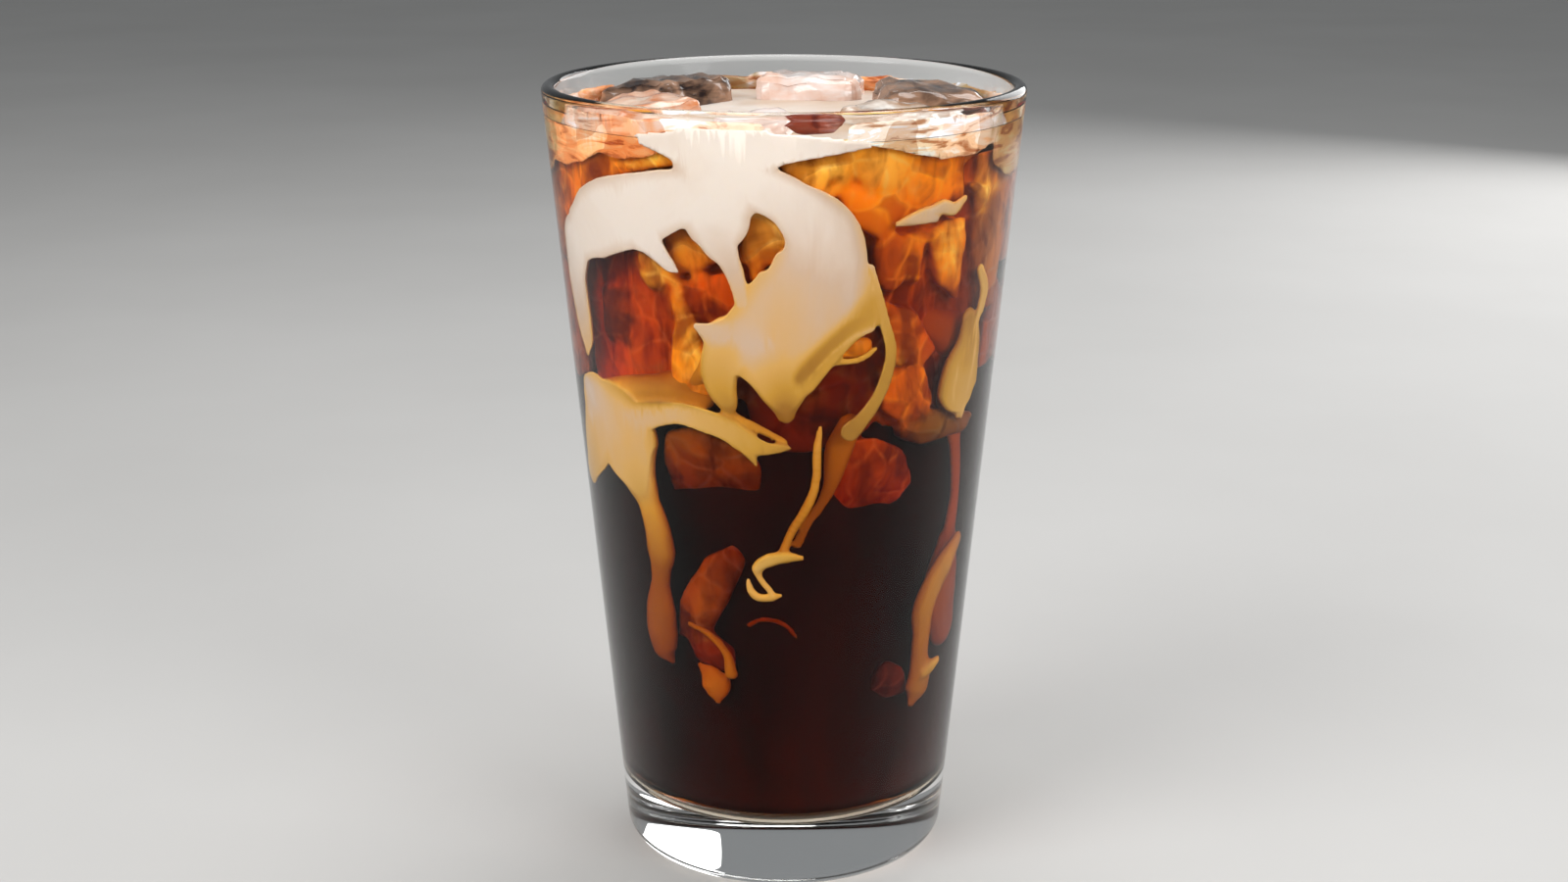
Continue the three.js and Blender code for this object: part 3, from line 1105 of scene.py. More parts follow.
@dataclass
class Cream:
    """The sinking cream: a floating pool and strands along the wall, grown together."""

    tumbler: Tumbler
    strands: tuple[Strand, ...] = CREAM_STRANDS + FINE_STRANDS
    pool_middle: tuple[float, float, float] = (-4, -23.5, 141.1)
    pool_half_sizes: tuple[float, float, float] = (19, 18.5, 1.7)
    film_radius: float = 35
    film_thickness: float = 1.3
    film_height: float = 141.5
    film_fray: float = 0.04
    fray_waves: tuple[int, int] = (3, 7)
    top: float = 144.8
    most_depth: float = 6
    swell: float = 0.2
    reach_into_wall: float = 0.25
    voxel: float = 0.42
    smoothing: int = 4
    kept_faces: float = 0.6
    samples_per_span: int = 6
    stain_blur: float = 0.05
    stain_falloff: int = 5
    edge_start: float = 0.66
    edge_width: float = 0.4
    edge_stain: float = 0.26
    swirl_stain: float = 0.13
    swirl_arms: int = 2
    swirl_turn: float = 0.35
    finish: SweetCream = SweetCream()

    def course(self, strand: Strand) -> Course:
        """Points along a strand.

        Args:
            strand: the strand to follow.

        Returns:
            The points from the first bead to the last.
        """
        spans = len(strand.beads) - 1
        places, halves, stains, depths = [], [], [], []
        for step in range(spans * self.samples_per_span + 1):
            span = min(step // self.samples_per_span, spans - 1)
            first, second = strand.beads[span], strand.beads[span + 1]
            share = step / self.samples_per_span - span
            along = (span + share) / spans
            depth = strand.depths[0] + (strand.depths[1] - strand.depths[0]) * along
            angle = first.angle + (second.angle - first.angle) * share
            height = first.height + (second.height - first.height) * share
            places.append(tuple(self.tumbler.wall_point(angle, height, depth)))
            halves.append((first.half + (second.half - first.half) * share + self.swell) * MM)
            stains.append(strand.stain[0] + (strand.stain[1] - strand.stain[0]) * along)
            depths.append(depth)
        return Course(np.array(places), np.array(halves), np.array(stains), np.array(depths))

    def tube(self, strand: Strand) -> Piece:
        """A tapered tube through a strand's beads, rounded at both ends.

        Args:
            strand: the strand to follow.

        Returns:
            The tube as a mesh.
        """
        clear_selection()
        bpy.ops.curve.primitive_bezier_curve_add(location=(0, 0, 0))
        curve = bpy.context.object
        curve.data.dimensions = "3D"
        curve.data.bevel_depth = MM
        curve.data.bevel_resolution = 4
        curve.data.resolution_u = 8
        curve.data.use_fill_caps = True
        spline = curve.data.splines[0]
        spline.bezier_points.add(len(strand.beads) - len(spline.bezier_points))
        course = self.course(strand)
        bead_places = course.places[:: self.samples_per_span]
        for point, bead, place in zip(spline.bezier_points, strand.beads, bead_places):
            point.co = place
            point.radius = bead.half + self.swell
            point.handle_left_type = "AUTO"
            point.handle_right_type = "AUTO"
        pick(curve)
        bpy.ops.object.convert(target="MESH")
        tube = bpy.context.object
        ends = [self.ball(course.places[end], course.halves[end]) for end in (0, -1)]
        tube = join([tube, *ends], strand.name)
        move_vertices(tube, lambda place: self.flatten(place, strand.flat, course))
        return tube

    def ball(self, place: np.ndarray, radius: float) -> Piece:
        """The round end of a strand."""
        clear_selection()
        bpy.ops.mesh.primitive_uv_sphere_add(segments=20, ring_count=12, radius=radius, location=place)
        ball = bpy.context.object
        settle(ball)
        return ball

    def pool(self) -> Piece:
        """The lens of cream that floats on the drink."""
        clear_selection()
        bpy.ops.mesh.primitive_uv_sphere_add(segments=48, ring_count=24, radius=MM)
        lens = bpy.context.object
        lens.scale = self.pool_half_sizes
        lens.location = Vector(self.pool_middle) * MM
        settle(lens)
        return lens

    def film(self) -> Piece:
        """The thin skin of cream that has spread between the ice on top of the drink."""
        clear_selection()
        radius, thickness = self.film_radius * MM, self.film_thickness * MM
        bpy.ops.mesh.primitive_cylinder_add(vertices=96, radius=radius, depth=thickness)
        film = bpy.context.object
        film.location = (0, 0, self.film_height * MM)
        settle(film)

        def fray(place: Vector) -> Vector:
            """Gives the skin a wavy edge."""
            angle = math.atan2(place.y, place.x)
            wide, fine = self.fray_waves
            wave = 1 + self.film_fray * (math.sin(wide * angle) + math.sin(fine * angle + 1))
            return Vector((place.x * wave, place.y * wave, place.z))

        move_vertices(film, fray)
        return film

    def flatten(self, place: Vector, flat: float, course: Course) -> Vector:
        """Squeezes a strand's thickness towards its middle line.

        Args:
            place: a vertex of the strand.
            flat: the share of the thickness that is kept.
            course: points along the strand.

        Returns:
            The vertex's new place.
        """
        nearest = np.argmin(np.sum((course.places - np.array(place)) ** 2, axis=1))
        depth = course.depths[nearest]
        off = (self.tumbler.depth_of(place) - depth) * flat
        return self.tumbler.at_depth(place, depth + self.most_depth * math.tanh(off / self.most_depth))

    def press(self, place: Vector) -> Vector:
        """Presses what would pass through the glass flat against it, and what would stand over the cream."""
        place = Vector((place.x, place.y, min(place.z, self.top * MM)))
        if self.tumbler.depth_of(place) >= -self.reach_into_wall:
            return place
        return self.tumbler.at_depth(place, -self.reach_into_wall)

    def stain(self, cream: Piece) -> None:
        """Stores on each vertex how far coffee has stained it: as the strands near it, and more at edges."""
        places = np.empty(len(cream.data.vertices) * 3)
        cream.data.vertices.foreach_get("co", places)
        places = places.reshape(-1, 3)
        nearness = np.zeros(len(places))
        total = np.zeros(len(places))
        inside = np.full(len(places), np.inf)
        for course in (self.course(strand) for strand in self.strands):
            for place, half, stain in zip(course.places, course.halves, course.stains):
                distance = np.linalg.norm(places - place, axis=1) / half
                inside = np.minimum(inside, distance)
                weight = 1 / (distance + self.stain_blur) ** self.stain_falloff
                nearness += weight
                total += weight * stain
        on_top = places[:, 2] > self.pool_middle[2] * MM
        angle = np.arctan2(places[:, 1], places[:, 0])
        radius = np.hypot(places[:, 0], places[:, 1]) / MM
        swirl = self.swirl_stain * (1 + np.sin(self.swirl_arms * angle + self.swirl_turn * radius))
        edge = np.clip((inside - self.edge_start) / self.edge_width, 0, 1) * self.edge_stain
        value = np.where(on_top, swirl, total / nearness + edge)
        layer = cream.data.attributes.new(self.finish.stain_name, "FLOAT", "POINT")
        layer.data.foreach_set("value", value)

    def build(self) -> Piece:
        """Grows the strands and the pool into one body.

        Returns:
            The cream piece.
        """
        tubes = [self.tube(strand) for strand in self.strands]
        cream = join([self.pool(), self.film(), *tubes], "cream_strands")
        apply_modifier(cream, "REMESH", mode="VOXEL", voxel_size=self.voxel * MM)
        apply_modifier(cream, "SMOOTH", factor=0.5, iterations=self.smoothing)
        move_vertices(cream, self.press)
        apply_modifier(cream, "DECIMATE", ratio=self.kept_faces)
        smooth_shade(cream)
        self.stain(cream)
        return cream

    def dress(self, cream: Piece) -> None:
        """Gives the cream its finish and place."""
        coat(cream, self.finish.material())
        place_piece(cream, ["sweet_cream"])


# The ice


class WetTone(Enum):
    """Looks of the ice that breaks the surface."""

    ORANGE = "orange"
    CREAMY = "creamy"
    FROSTED = "frosted"
    DARK = "dark"


class IceTone(Enum):
    """Looks of the sunk ice."""

    AMBER = "amber"
    HONEY = "honey"
    RUST = "rust"
    UMBER = "umber"
    WINE = "wine"
    HOLLOW = "hollow"
    OLIVE = "olive"
    BLUSH = "blush"
    PEACH = "peach"
    FROST = "frost"
    GOLD = "gold"
    # Painted highlight: bright yellow ice that stands in for glints of light.
    GLOW = "glow"


WET_FINISHES = {
    WetTone.ORANGE: WetIce("orange_ice", light=(0.97, 0.74, 0.58), dark=(0.72, 0.24, 0.08)),
    WetTone.CREAMY: WetIce("creamy_ice", light=(0.97, 0.88, 0.84), dark=(0.88, 0.58, 0.45)),
    WetTone.FROSTED: WetIce("frosted_ice", light=(0.95, 0.88, 0.80), dark=(0.45, 0.24, 0.12)),
    WetTone.DARK: WetIce("dark_ice", light=(0.42, 0.24, 0.15), dark=(0.02, 0.008, 0.006)),
}

SUNK_TONES = {
    IceTone.AMBER: (0.95, 0.37, 0.015),
    IceTone.HONEY: (0.90, 0.54, 0.15),
    IceTone.RUST: (0.70, 0.18, 0.01),
    IceTone.UMBER: (0.42, 0.20, 0.06),
    IceTone.WINE: (0.26, 0.04, 0.012),
    IceTone.HOLLOW: (0.12, 0.022, 0.006),
    IceTone.OLIVE: (0.22, 0.13, 0.035),
    IceTone.BLUSH: (0.92, 0.36, 0.13),
    IceTone.PEACH: (0.90, 0.62, 0.45),
    IceTone.FROST: (0.84, 0.70, 0.57),
    IceTone.GOLD: (0.40, 0.21, 0.07),
    # Painted highlight tone.
    IceTone.GLOW: (1.0, 0.62, 0.13),
}


@dataclass(frozen=True)
class TopCube:
    """Ice that breaks the surface.

    Its middle's angle in degrees, distance from the axis and height, its size in millimetres, its turn and
    lean in degrees, and its look.
    """

    node: str
    angle: float
    reach: float
    middle: float
    size: float
    turn: float
    lean: float
    tone: WetTone


@dataclass(frozen=True)
class Corner:
    """A corner of a sunk facet: degrees round, height, and the film of coffee before it in millimetres."""

    angle: float
    height: float
    film: float


@dataclass(frozen=True)
class Shard:
    """A broken lump of sunk ice behind one facet, whose middle may be lifted nearer to the glass."""

    name: str
    tone: IceTone
    corners: tuple[Corner, ...]
    lift: float

    def middle_film(self) -> float:
        """The film of coffee before the facet's middle, in millimetres."""
        return sum(corner.film for corner in self.corners) / len(self.corners) - self.lift


def shard(name: str, tone: IceTone, *corners: tuple[float, float, float], lift: float = 0) -> Shard:
    """Makes a shard from (angle, height, film) triples."""
    return Shard(name, tone, tuple(Corner(*corner) for corner in corners), lift)


@dataclass(frozen=True)
class ShardRing:
    """A row of like lumps round the side that faces away: angles, heights, count, film and tones."""

    name: str
    angles: tuple[float, float]
    heights: tuple[float, float]
    count: int
    film: float
    tones: tuple[IceTone, ...]
    seed: int
    overlap: float = 1.12
    angle_play: float = 2.5
    height_play: float = 2
    top_play: float = 0.2
    outline: tuple[tuple[int, int], ...] = ((-1, 1), (0, 1), (1, 1), (1, -1), (0, -1), (-1, -1))

    def shards(self) -> tuple[Shard, ...]:
        """Makes the lumps, each a little different."""
        chance = np.random.default_rng(self.seed)
        first, last = self.angles
        step = (last - first) / self.count
        low, high = self.heights
        middle_height = (low + high) / 2
        half_angle, half_height = self.overlap * step / 2, self.overlap * (high - low) / 2
        lumps = []
        for index in range(self.count):
            corners = []
            middle_angle = first + step * (index + 0.5)
            for side, level in self.outline:
                angle = middle_angle + side * half_angle + self.angle_play * chance.uniform(-1, 1)
                rise = self.height_play * chance.uniform(-1, self.top_play * level)
                corners.append((angle, middle_height + level * half_height + rise, self.film))
            tone = self.tones[index % len(self.tones)]
            lumps.append(shard(f"{self.name}_{index}", tone, *corners))
        return tuple(lumps)


TOP_CUBES = (
    TopCube(
        "ice_front_left", angle=-64, reach=28, middle=136.6, size=19.5, turn=4, lean=10, tone=WetTone.ORANGE
    ),
    TopCube(
        "ice_front", angle=-10.5, reach=25.6, middle=136.8, size=16.5, turn=-3, lean=8, tone=WetTone.CREAMY
    ),
    TopCube(
        "ice_front_right", angle=44, reach=28, middle=136.6, size=18.5, turn=7, lean=10, tone=WetTone.FROSTED
    ),
    TopCube(
        "ice_right", angle=100, reach=26.8, middle=136.2, size=21, turn=-6, lean=6, tone=WetTone.DARK
    ),
    TopCube(
        "ice_back", angle=168, reach=26, middle=136, size=21, turn=6, lean=6, tone=WetTone.CREAMY
    ),
    TopCube(
        "ice_back_left", angle=-126, reach=26.6, middle=136.8, size=20, turn=-4, lean=7, tone=WetTone.DARK
    ),
)

SHARDS = (
    shard(
        "left_top", IceTone.AMBER,
        (-74, 139.5, 0.5), (-60, 141, 0.4), (-45.7, 142.5, 0.4), (-33.4, 143, 0.5), (-25, 142, 0.5),
        (-26.2, 138.1, 0.6), (-36.8, 136.4, 0.7), (-52.3, 133.3, 0.7), (-64.5, 128.2, 0.6), (-74, 125, 0.6),
    ),
    shard(
        "left_rust", IceTone.RUST,
        (-54.3, 135.2, 0.6), (-39.3, 139.5, 0.5), (-34.5, 140.1, 0.5), (-36.1, 137.3, 0.6),
        (-45.9, 135.2, 0.7),
    ),
    shard(
        "left_face", IceTone.RUST,
        (-60.9, 119.3, 4), (-42, 123.1, 2.2), (-30, 117.4, 1.4), (-23.2, 100.1, 1.2), (-30.1, 95.6, 1.6),
        (-47.5, 95, 1.8), (-68.4, 94.9, 2.6), (-66.5, 108.1, 5),
    ),
    shard(
        "left_edge", IceTone.AMBER,
        (-31.5, 118.7, 0.8), (-26.7, 117.6, 0.5), (-20, 101.6, 0.4), (-19.7, 96.7, 0.5), (-30.1, 95.3, 0.5),
        (-33, 101.4, 0.4), (-30.4, 110.5, 0.5),
    ),
    shard(
        "left_tip", IceTone.HONEY,
        (-42, 123.1, 0.7), (-32.8, 122.8, 0.7), (-27.1, 117.6, 0.9), (-35.8, 118, 0.9), (-40.6, 119.3, 0.8),
    ),
    shard(
        "left_hollow", IceTone.HOLLOW,
        (-60.5, 114.3, 3), (-51.6, 116.1, 2.4), (-46.6, 112, 2.2), (-50.1, 104.8, 2.2), (-60.7, 104.1, 2.6),
    ),
    shard(
        "middle_top", IceTone.HONEY,
        (-33.7, 128.9, 1.6), (-24.1, 127.5, 1.6), (-14.9, 122, 1.6), (-24.3, 118.8, 2), (-32.1, 119, 2),
    ),
    shard(
        "middle_low", IceTone.RUST,
        (-27.6, 118.6, 1.6), (-13, 120.7, 1.6), (-9.8, 114.5, 2), (-16, 109.9, 2.4), (-23.5, 109.6, 2.4),
        (-26.9, 114.1, 2),
    ),
    shard("hole_top", IceTone.HONEY, (-11, 133, 0.6), (5, 132, 0.6), (5, 121, 0.8), (-12, 121, 0.8)),
    shard(
        "hole_light", IceTone.HONEY,
        (-11.3, 125.9, 0.6), (-3.3, 127.1, 0.6), (-4.2, 123.3, 0.7), (-10, 122.7, 0.7),
    ),
    shard("hole_red", IceTone.AMBER, (-10, 123, 1), (-4, 124, 1), (-5.3, 117.9, 1.2), (-9.2, 117.9, 1.2)),
    shard(
        "top_honey", IceTone.HONEY,
        (13, 143, 0.6), (33.4, 143.4, 0.6), (34.3, 133.3, 0.9), (21.6, 133, 0.9), (15.5, 137, 0.8),
    ),
    shard(
        "top_amber", IceTone.AMBER,
        (32.3, 143, 0.5), (50, 142, 0.6), (52.2, 130.1, 0.9), (35.5, 128.5, 0.9), (30.4, 133.6, 0.8),
    ),
    shard(
        "top_bright", IceTone.HONEY,
        (-4, 140.6, 0.5), (14.9, 142.6, 0.4), (17, 135.5, 0.5), (10, 131.5, 0.8), (2, 134.5, 0.8),
    ),
    shard(
        "top_low", IceTone.AMBER,
        (10.5, 136.1, 1), (30.4, 133.6, 0.9), (35.5, 128.8, 1), (24.8, 125, 1.4), (17.5, 127.8, 1.2),
    ),
    # Painted highlight: a bright vee of ice.
    shard("vee", IceTone.GLOW, (52, 133.4, 0.5), (66, 133, 0.5), (60, 127.5, 0.6)),
    shard(
        "edge_brown", IceTone.UMBER,
        (55, 139, 0.9), (76, 139, 0.6), (76, 108, 0.8), (64, 108, 1), (57, 122, 1.2),
    ),
    # Painted highlights: bright streaks and spots of ice, down to gold_glow.
    shard(
        "left_highlight", IceTone.GLOW,
        (-49.9, 135.9, 0.3), (-32.9, 141, 0.3), (-24.4, 140.6, 0.3), (-25.6, 138, 0.3), (-37.2, 136.2, 0.3),
    ),
    shard(
        "ice_highlight", IceTone.GLOW,
        (-29.7, 113.6, 0.4), (-26.9, 116.4, 0.3), (-22.3, 110.5, 0.3), (-21.4, 101.1, 0.3),
        (-25.4, 99.6, 0.4), (-27.2, 106.3, 0.3),
    ),
    shard(
        "low_highlight", IceTone.GLOW,
        (-54, 95.3, 0.5), (-38.8, 99.2, 0.4), (-28.3, 98, 0.4), (-30, 94.5, 0.4), (-44.1, 94.7, 0.4),
    ),
    shard(
        "tan_highlight", IceTone.GLOW,
        (-41.8, 118.7, 0.8), (-33.9, 121.8, 0.6), (-30.1, 117.7, 0.6), (-37.6, 114.9, 0.8),
    ),
    shard(
        "column_glow", IceTone.GLOW,
        (7, 137.7, 0.2), (10.8, 139.8, 0.2), (15.8, 138.5, 0.2), (14.8, 136.2, 0.2), (9.3, 136.2, 0.2),
    ),
    shard(
        "low_glint", IceTone.GLOW,
        (30, 105.7, 0.3), (36, 104.4, 0.3), (35, 101.2, 0.3), (29.6, 102.1, 0.3),
    ),
    shard(
        "gold_glow", IceTone.GLOW,
        (43.2, 128.2, 0.6), (53, 127.8, 0.5), (51.9, 117.1, 0.7), (45.6, 118.9, 0.6),
    ),
    shard(
        "right_round", IceTone.RUST,
        (22.5, 124.1, 1.2), (27.8, 127.4, 1), (32.9, 125.9, 1), (33.5, 116.8, 1.1), (29.1, 115, 1.3),
        (24.2, 117.4, 1.4),
    ),
    shard(
        "right_middle", IceTone.AMBER,
        (31.2, 126, 1.4), (38.7, 127.2, 1.2), (39.2, 116.3, 1.4), (33.5, 116.8, 1.4),
    ),
    shard(
        "right_gold", IceTone.AMBER,
        (38.8, 126.8, 0.6), (52.1, 127.4, 0.6), (54.3, 123.6, 0.7), (53.7, 111.2, 0.9), (44, 115.8, 0.8),
    ),
    shard(
        "right_face", IceTone.RUST,
        (25.7, 115.2, 0.9), (37.9, 112.2, 0.8), (47.1, 104, 0.8), (41.1, 100.7, 0.9), (30.5, 102.4, 1),
        (26.8, 109.7, 1),
    ),
    shard(
        "right_low", IceTone.AMBER,
        (27, 102, 1.6), (43.1, 101.6, 1.2), (49.4, 93.5, 1.4), (37.3, 90.3, 2), (27.9, 94, 2.2),
    ),
    shard(
        "red_hole", IceTone.AMBER,
        (10.6, 104, 0.4), (16.2, 108.9, 0.3), (24.7, 108.2, 0.3), (24.3, 104.1, 0.4),
    ),
    shard(
        "brown_face", IceTone.UMBER,
        (-36.5, 90.6, 1.6), (-27.5, 91.4, 1.6), (-10.2, 88, 1.8), (-6, 84.1, 2.4), (-7.8, 76.5, 6.5),
        (-40.2, 74.7, 6.5), (-40.4, 83.8, 2),
    ),
    shard(
        "red_cube", IceTone.RUST,
        (19.5, 89.4, 1.8), (27.7, 90, 1.4), (38.7, 85.9, 1.6), (45.1, 79.5, 2.4), (39.7, 74.3, 5),
        (17.7, 72.4, 6), (13.1, 76.4, 5.5), (17.3, 83.1, 4),
    ),
    shard(
        "low_red", IceTone.UMBER,
        (-42, 48, 3.2), (-39, 57, 3.2), (-28, 66, 3.4), (-17, 69.5, 4), (-12, 66, 4.4), (-20, 57, 3.8),
        (-28, 49, 3.4),
        lift=1.2,
    ),
    shard(
        "pocket", IceTone.WINE,
        (-38.6, 50.3, 3), (-28, 52.4, 2.8), (-18.3, 47.7, 2.6), (-17.3, 43.8, 2.8), (-21.4, 42.7, 3),
        (-33.4, 44.3, 3.2),
        lift=0.6,
    ),
    shard(
        "low_dome", IceTone.WINE,
        (34.4, 42.1, 2.6), (39.2, 44.7, 2.2), (48.1, 42.2, 2), (53.5, 36, 3), (42.9, 35, 4),
        (34.7, 38.2, 4.5),
    ),
    shard(
        "olive_face", IceTone.OLIVE,
        (34.5, 90.8, 1.6), (40.4, 92.8, 1.4), (51.3, 92.9, 1.2), (71.4, 89.1, 1.4), (66.8, 85.7, 1.6),
        (45.4, 85.8, 2), (36.3, 87.7, 2),
    ),
    shard(
        "deep_left", IceTone.UMBER,
        (-70, 138, 2.6), (-40, 139, 2.4), (2, 138, 2.4), (2, 110, 2.8), (-12, 96, 3), (-40, 93, 2.6),
        (-70, 92, 3),
    ),
    shard(
        "deep_right", IceTone.UMBER,
        (0, 139, 2), (42, 139, 2), (66, 138, 2.2), (68, 112, 2.6), (66, 90, 3.4), (40, 88, 3), (6, 96, 3),
    ),
    shard(
        "deep_middle", IceTone.WINE,
        (-14, 106, 3), (12, 108, 3), (30, 104, 3), (28, 90, 3.6), (8, 86, 4.4), (-10, 86, 4.4),
    ),
    shard(
        "deep_low", IceTone.HOLLOW,
        (-42, 88, 7), (-10, 88, 7), (20, 90, 7), (48, 88, 7), (42, 62, 9), (10, 60, 10), (-34, 52, 9),
    ),
)

BACK_UPPER = ShardRing(
    "back_upper",
    angles=(72, 288),
    heights=(120, 138),
    count=9,
    film=1.2,
    tones=(IceTone.UMBER, IceTone.AMBER, IceTone.HONEY, IceTone.RUST),
    seed=3,
    height_play=4,
)
BACK_LOWER = ShardRing(
    "back_lower",
    angles=(72, 288),
    heights=(104, 120),
    count=8,
    film=2.2,
    tones=(IceTone.UMBER, IceTone.AMBER, IceTone.RUST, IceTone.UMBER),
    seed=4,
    height_play=11,
)
BACK_CRUST = ShardRing(
    "back_crust",
    angles=(86, 272),
    heights=(139.5, 145),
    count=9,
    film=0.1,
    tones=(IceTone.PEACH, IceTone.GOLD, IceTone.FROST, IceTone.BLUSH),
    seed=8,
    height_play=1,
)

CRUST_SHARDS = (
    shard(
        "left_end", IceTone.GOLD,
        (-88, 145.4, 0.2), (-74, 146.2, 0.1), (-70, 140, 0.1), (-76, 133, 0.4), (-88, 131, 0.8),
    ),
    shard(
        "left_frost", IceTone.BLUSH,
        (-75, 146.2, 0.1), (-60, 146.4, 0), (-46, 146.4, 0), (-47, 139, 0), (-56, 136.5, 0.2),
        (-66, 134.5, 0.4), (-75, 135, 0.4),
    ),
    shard(
        "left_blush", IceTone.BLUSH,
        (-48, 146.4, 0), (-34, 146.2, 0), (-27, 142.6, 0), (-30, 139.6, 0.2), (-40, 137.8, 0.2),
        (-50, 138.4, 0),
    ),
    shard(
        "left_white", IceTone.FROST,
        (-66, 145.8, 0), (-54, 146, 0), (-42, 144.4, 0), (-50, 142.4, 0), (-62, 143.4, 0),
    ),
    shard(
        "peach", IceTone.PEACH,
        (-36, 146.2, 0.1), (-20, 146.4, 0.2), (-2, 146.2, 0.3), (-5, 143.6, 0.2), (-18, 143, 0.2),
        (-34, 142, 0.2),
    ),
    shard(
        "notch", IceTone.WINE,
        (-3, 146, 2.5), (7, 146.4, 3), (17, 146, 2.5), (12, 143.6, 2.5), (3, 143.4, 2.5),
    ),
    shard(
        "right_frost", IceTone.FROST,
        (14, 146.2, 0.2), (26, 146.4, 0), (38, 146.4, 0), (40, 138.6, 0.1), (32, 139.4, 0), (22, 141.2, 0),
        (13, 142.6, 0.1),
    ),
    shard(
        "right_tan", IceTone.PEACH,
        (36, 146.4, 0), (48, 146.4, 0), (59, 146, 0), (60, 139.6, 0.1), (50, 137.6, 0.2), (38, 138, 0.2),
    ),
    shard(
        "right_gold", IceTone.GOLD,
        (57, 146, 0.1), (70, 146, 0.1), (86, 145, 0.4), (86, 132, 1), (70, 132, 0.6), (59, 136, 0.2),
    ),
)


@dataclass
class Ice:
    """All the ice: worn cubes that float, and broken lumps held down under them."""

    tumbler: Tumbler
    top_cubes: tuple[TopCube, ...] = TOP_CUBES
    shards: tuple[Shard, ...] = SHARDS + BACK_UPPER.shards() + BACK_LOWER.shards()
    crust_shards: tuple[Shard, ...] = CRUST_SHARDS + BACK_CRUST.shards()
    taper: float = 0.05
    skew: float = 0.06
    edge_round: float = 3.4
    crease_angle: float = 50
    shard_depth: float = 4
    crust_depth: float = 2
    shard_waist: float = 0.8
    shard_edge: float = 0.7
    lump_size: float = 5
    lump_height: float = 0.9
    melt_size: float = 6
    melt_height: float = 3.2
    edge_drop: float = 0.8
    voxel: float = 0.6
    smoothing: int = 3
    tone_blur: float = 1.0
    tone_falloff: int = 5
    edge_shares: tuple[float, ...] = (0, 0.33, 0.67)
    reach_shares: tuple[float, ...] = (0.35, 0.65, 0.92)
    kept_faces: float = 0.75
    wall_gap: float = 0.12
    crust_flush: float = 1.8
    milky: MilkyIce = MilkyIce()
    frosty: FrostyIce = FrostyIce()

    def cube(self, name: str, sizes: Sequence[float], edge_round: float) -> Piece:
        """A box with rounded edges and fine faces.

        Args:
            name: the object's name.
            sizes: its sides in millimetres.
            edge_round: the edges' radius in millimetres.

        Returns:
            The box at the origin.
        """
        clear_selection()
        bpy.ops.mesh.primitive_cube_add(size=1)
        box = bpy.context.object
        box.name = name
        box.data.name = name
        box.scale = Vector(sizes) * MM
        settle(box)
        bpy.ops.object.mode_set(mode="EDIT")
        bpy.ops.mesh.select_all(action="SELECT")
        bpy.ops.mesh.bevel(offset=edge_round * MM, segments=3, affect="EDGES", clamp_overlap=True)
        bpy.ops.object.mode_set(mode="OBJECT")
        apply_modifier(box, "SUBSURF", subdivision_type="SIMPLE", levels=3, render_levels=3)
        return box

    def top_cube(self, cube: TopCube) -> Piece:
        """A floating cube in its place.

        Args:
            cube: its sizes and place.

        Returns:
            The piece.
        """
        piece = self.cube(f"{cube.node}_wet", (cube.size, cube.size, cube.size), self.edge_round)

        def wear(place: Vector) -> Vector:
            """Narrows the cube towards its foot and leans it over."""
            rise = place.z / (cube.size * MM)
            width = 1 + self.taper * rise
            side = self.skew * cube.size * MM * rise * abs(rise)
            return Vector((place.x * width + side, place.y * width, place.z))

        move_vertices(piece, wear)
        self.roughen(piece, self.melt_size, self.melt_height)
        lean = Matrix.Rotation(math.radians(cube.lean), 4, "X")
        turn = Matrix.Rotation(math.radians(cube.turn), 4, "Z") @ lean
        shift = Matrix.Translation(Vector((0, -cube.reach, cube.middle)) * MM)
        piece.matrix_world = Matrix.Rotation(math.radians(cube.angle), 4, "Z") @ shift @ turn
        settle(piece)
        smooth_shade(piece, self.crease_angle)
        return piece

    def lump(self, shard: Shard, depth: float) -> Piece:
        """A lump drawn back from its facet.

        Args:
            shard: the facet's corners and look.
            depth: how far the lump reaches behind its facet, in millimetres.

        Returns:
            The piece.
        """
        clear_selection()
        bpy.ops.mesh.primitive_circle_add(vertices=len(shard.corners), radius=MM, fill_type="NGON")
        piece = bpy.context.object
        piece.name = f"sunk_{shard.name}"
        piece.data.name = piece.name
        for vertex, corner in zip(piece.data.vertices, shard.corners):
            vertex.co = self.tumbler.wall_point(corner.angle, corner.height, corner.film + self.edge_drop)
        middle = sum((vertex.co for vertex in piece.data.vertices), Vector()) / len(shard.corners)
        inward = Vector((-middle.x, -middle.y, 0)).normalized() * depth * MM
        swell = self.tumbler.depth_of(middle) - shard.middle_film()
        piece.data.update()
        pick(piece)
        faces_in = piece.data.polygons[0].normal.dot(inward) > 0
        bpy.ops.object.mode_set(mode="EDIT")
        bpy.ops.mesh.select_all(action="SELECT")
        if faces_in:
            bpy.ops.mesh.flip_normals()
        bpy.ops.mesh.poke(offset=swell * MM)
        bpy.ops.mesh.extrude_region_move(TRANSFORM_OT_translate={"value": inward})
        waist = (self.shard_waist, self.shard_waist, self.shard_waist)
        bpy.ops.transform.resize(value=waist, center_override=middle + inward)
        bpy.ops.mesh.select_all(action="SELECT")
        bpy.ops.mesh.normals_make_consistent(inside=False)
        bpy.ops.mesh.bevel(offset=self.shard_edge * MM, segments=3, affect="EDGES", clamp_overlap=True)
        bpy.ops.mesh.select_all(action="SELECT")
        bpy.ops.mesh.quads_convert_to_tris()
        bpy.ops.mesh.subdivide(number_cuts=3)
        bpy.ops.object.mode_set(mode="OBJECT")
        self.roughen(piece, self.lump_size, self.lump_height)
        return piece

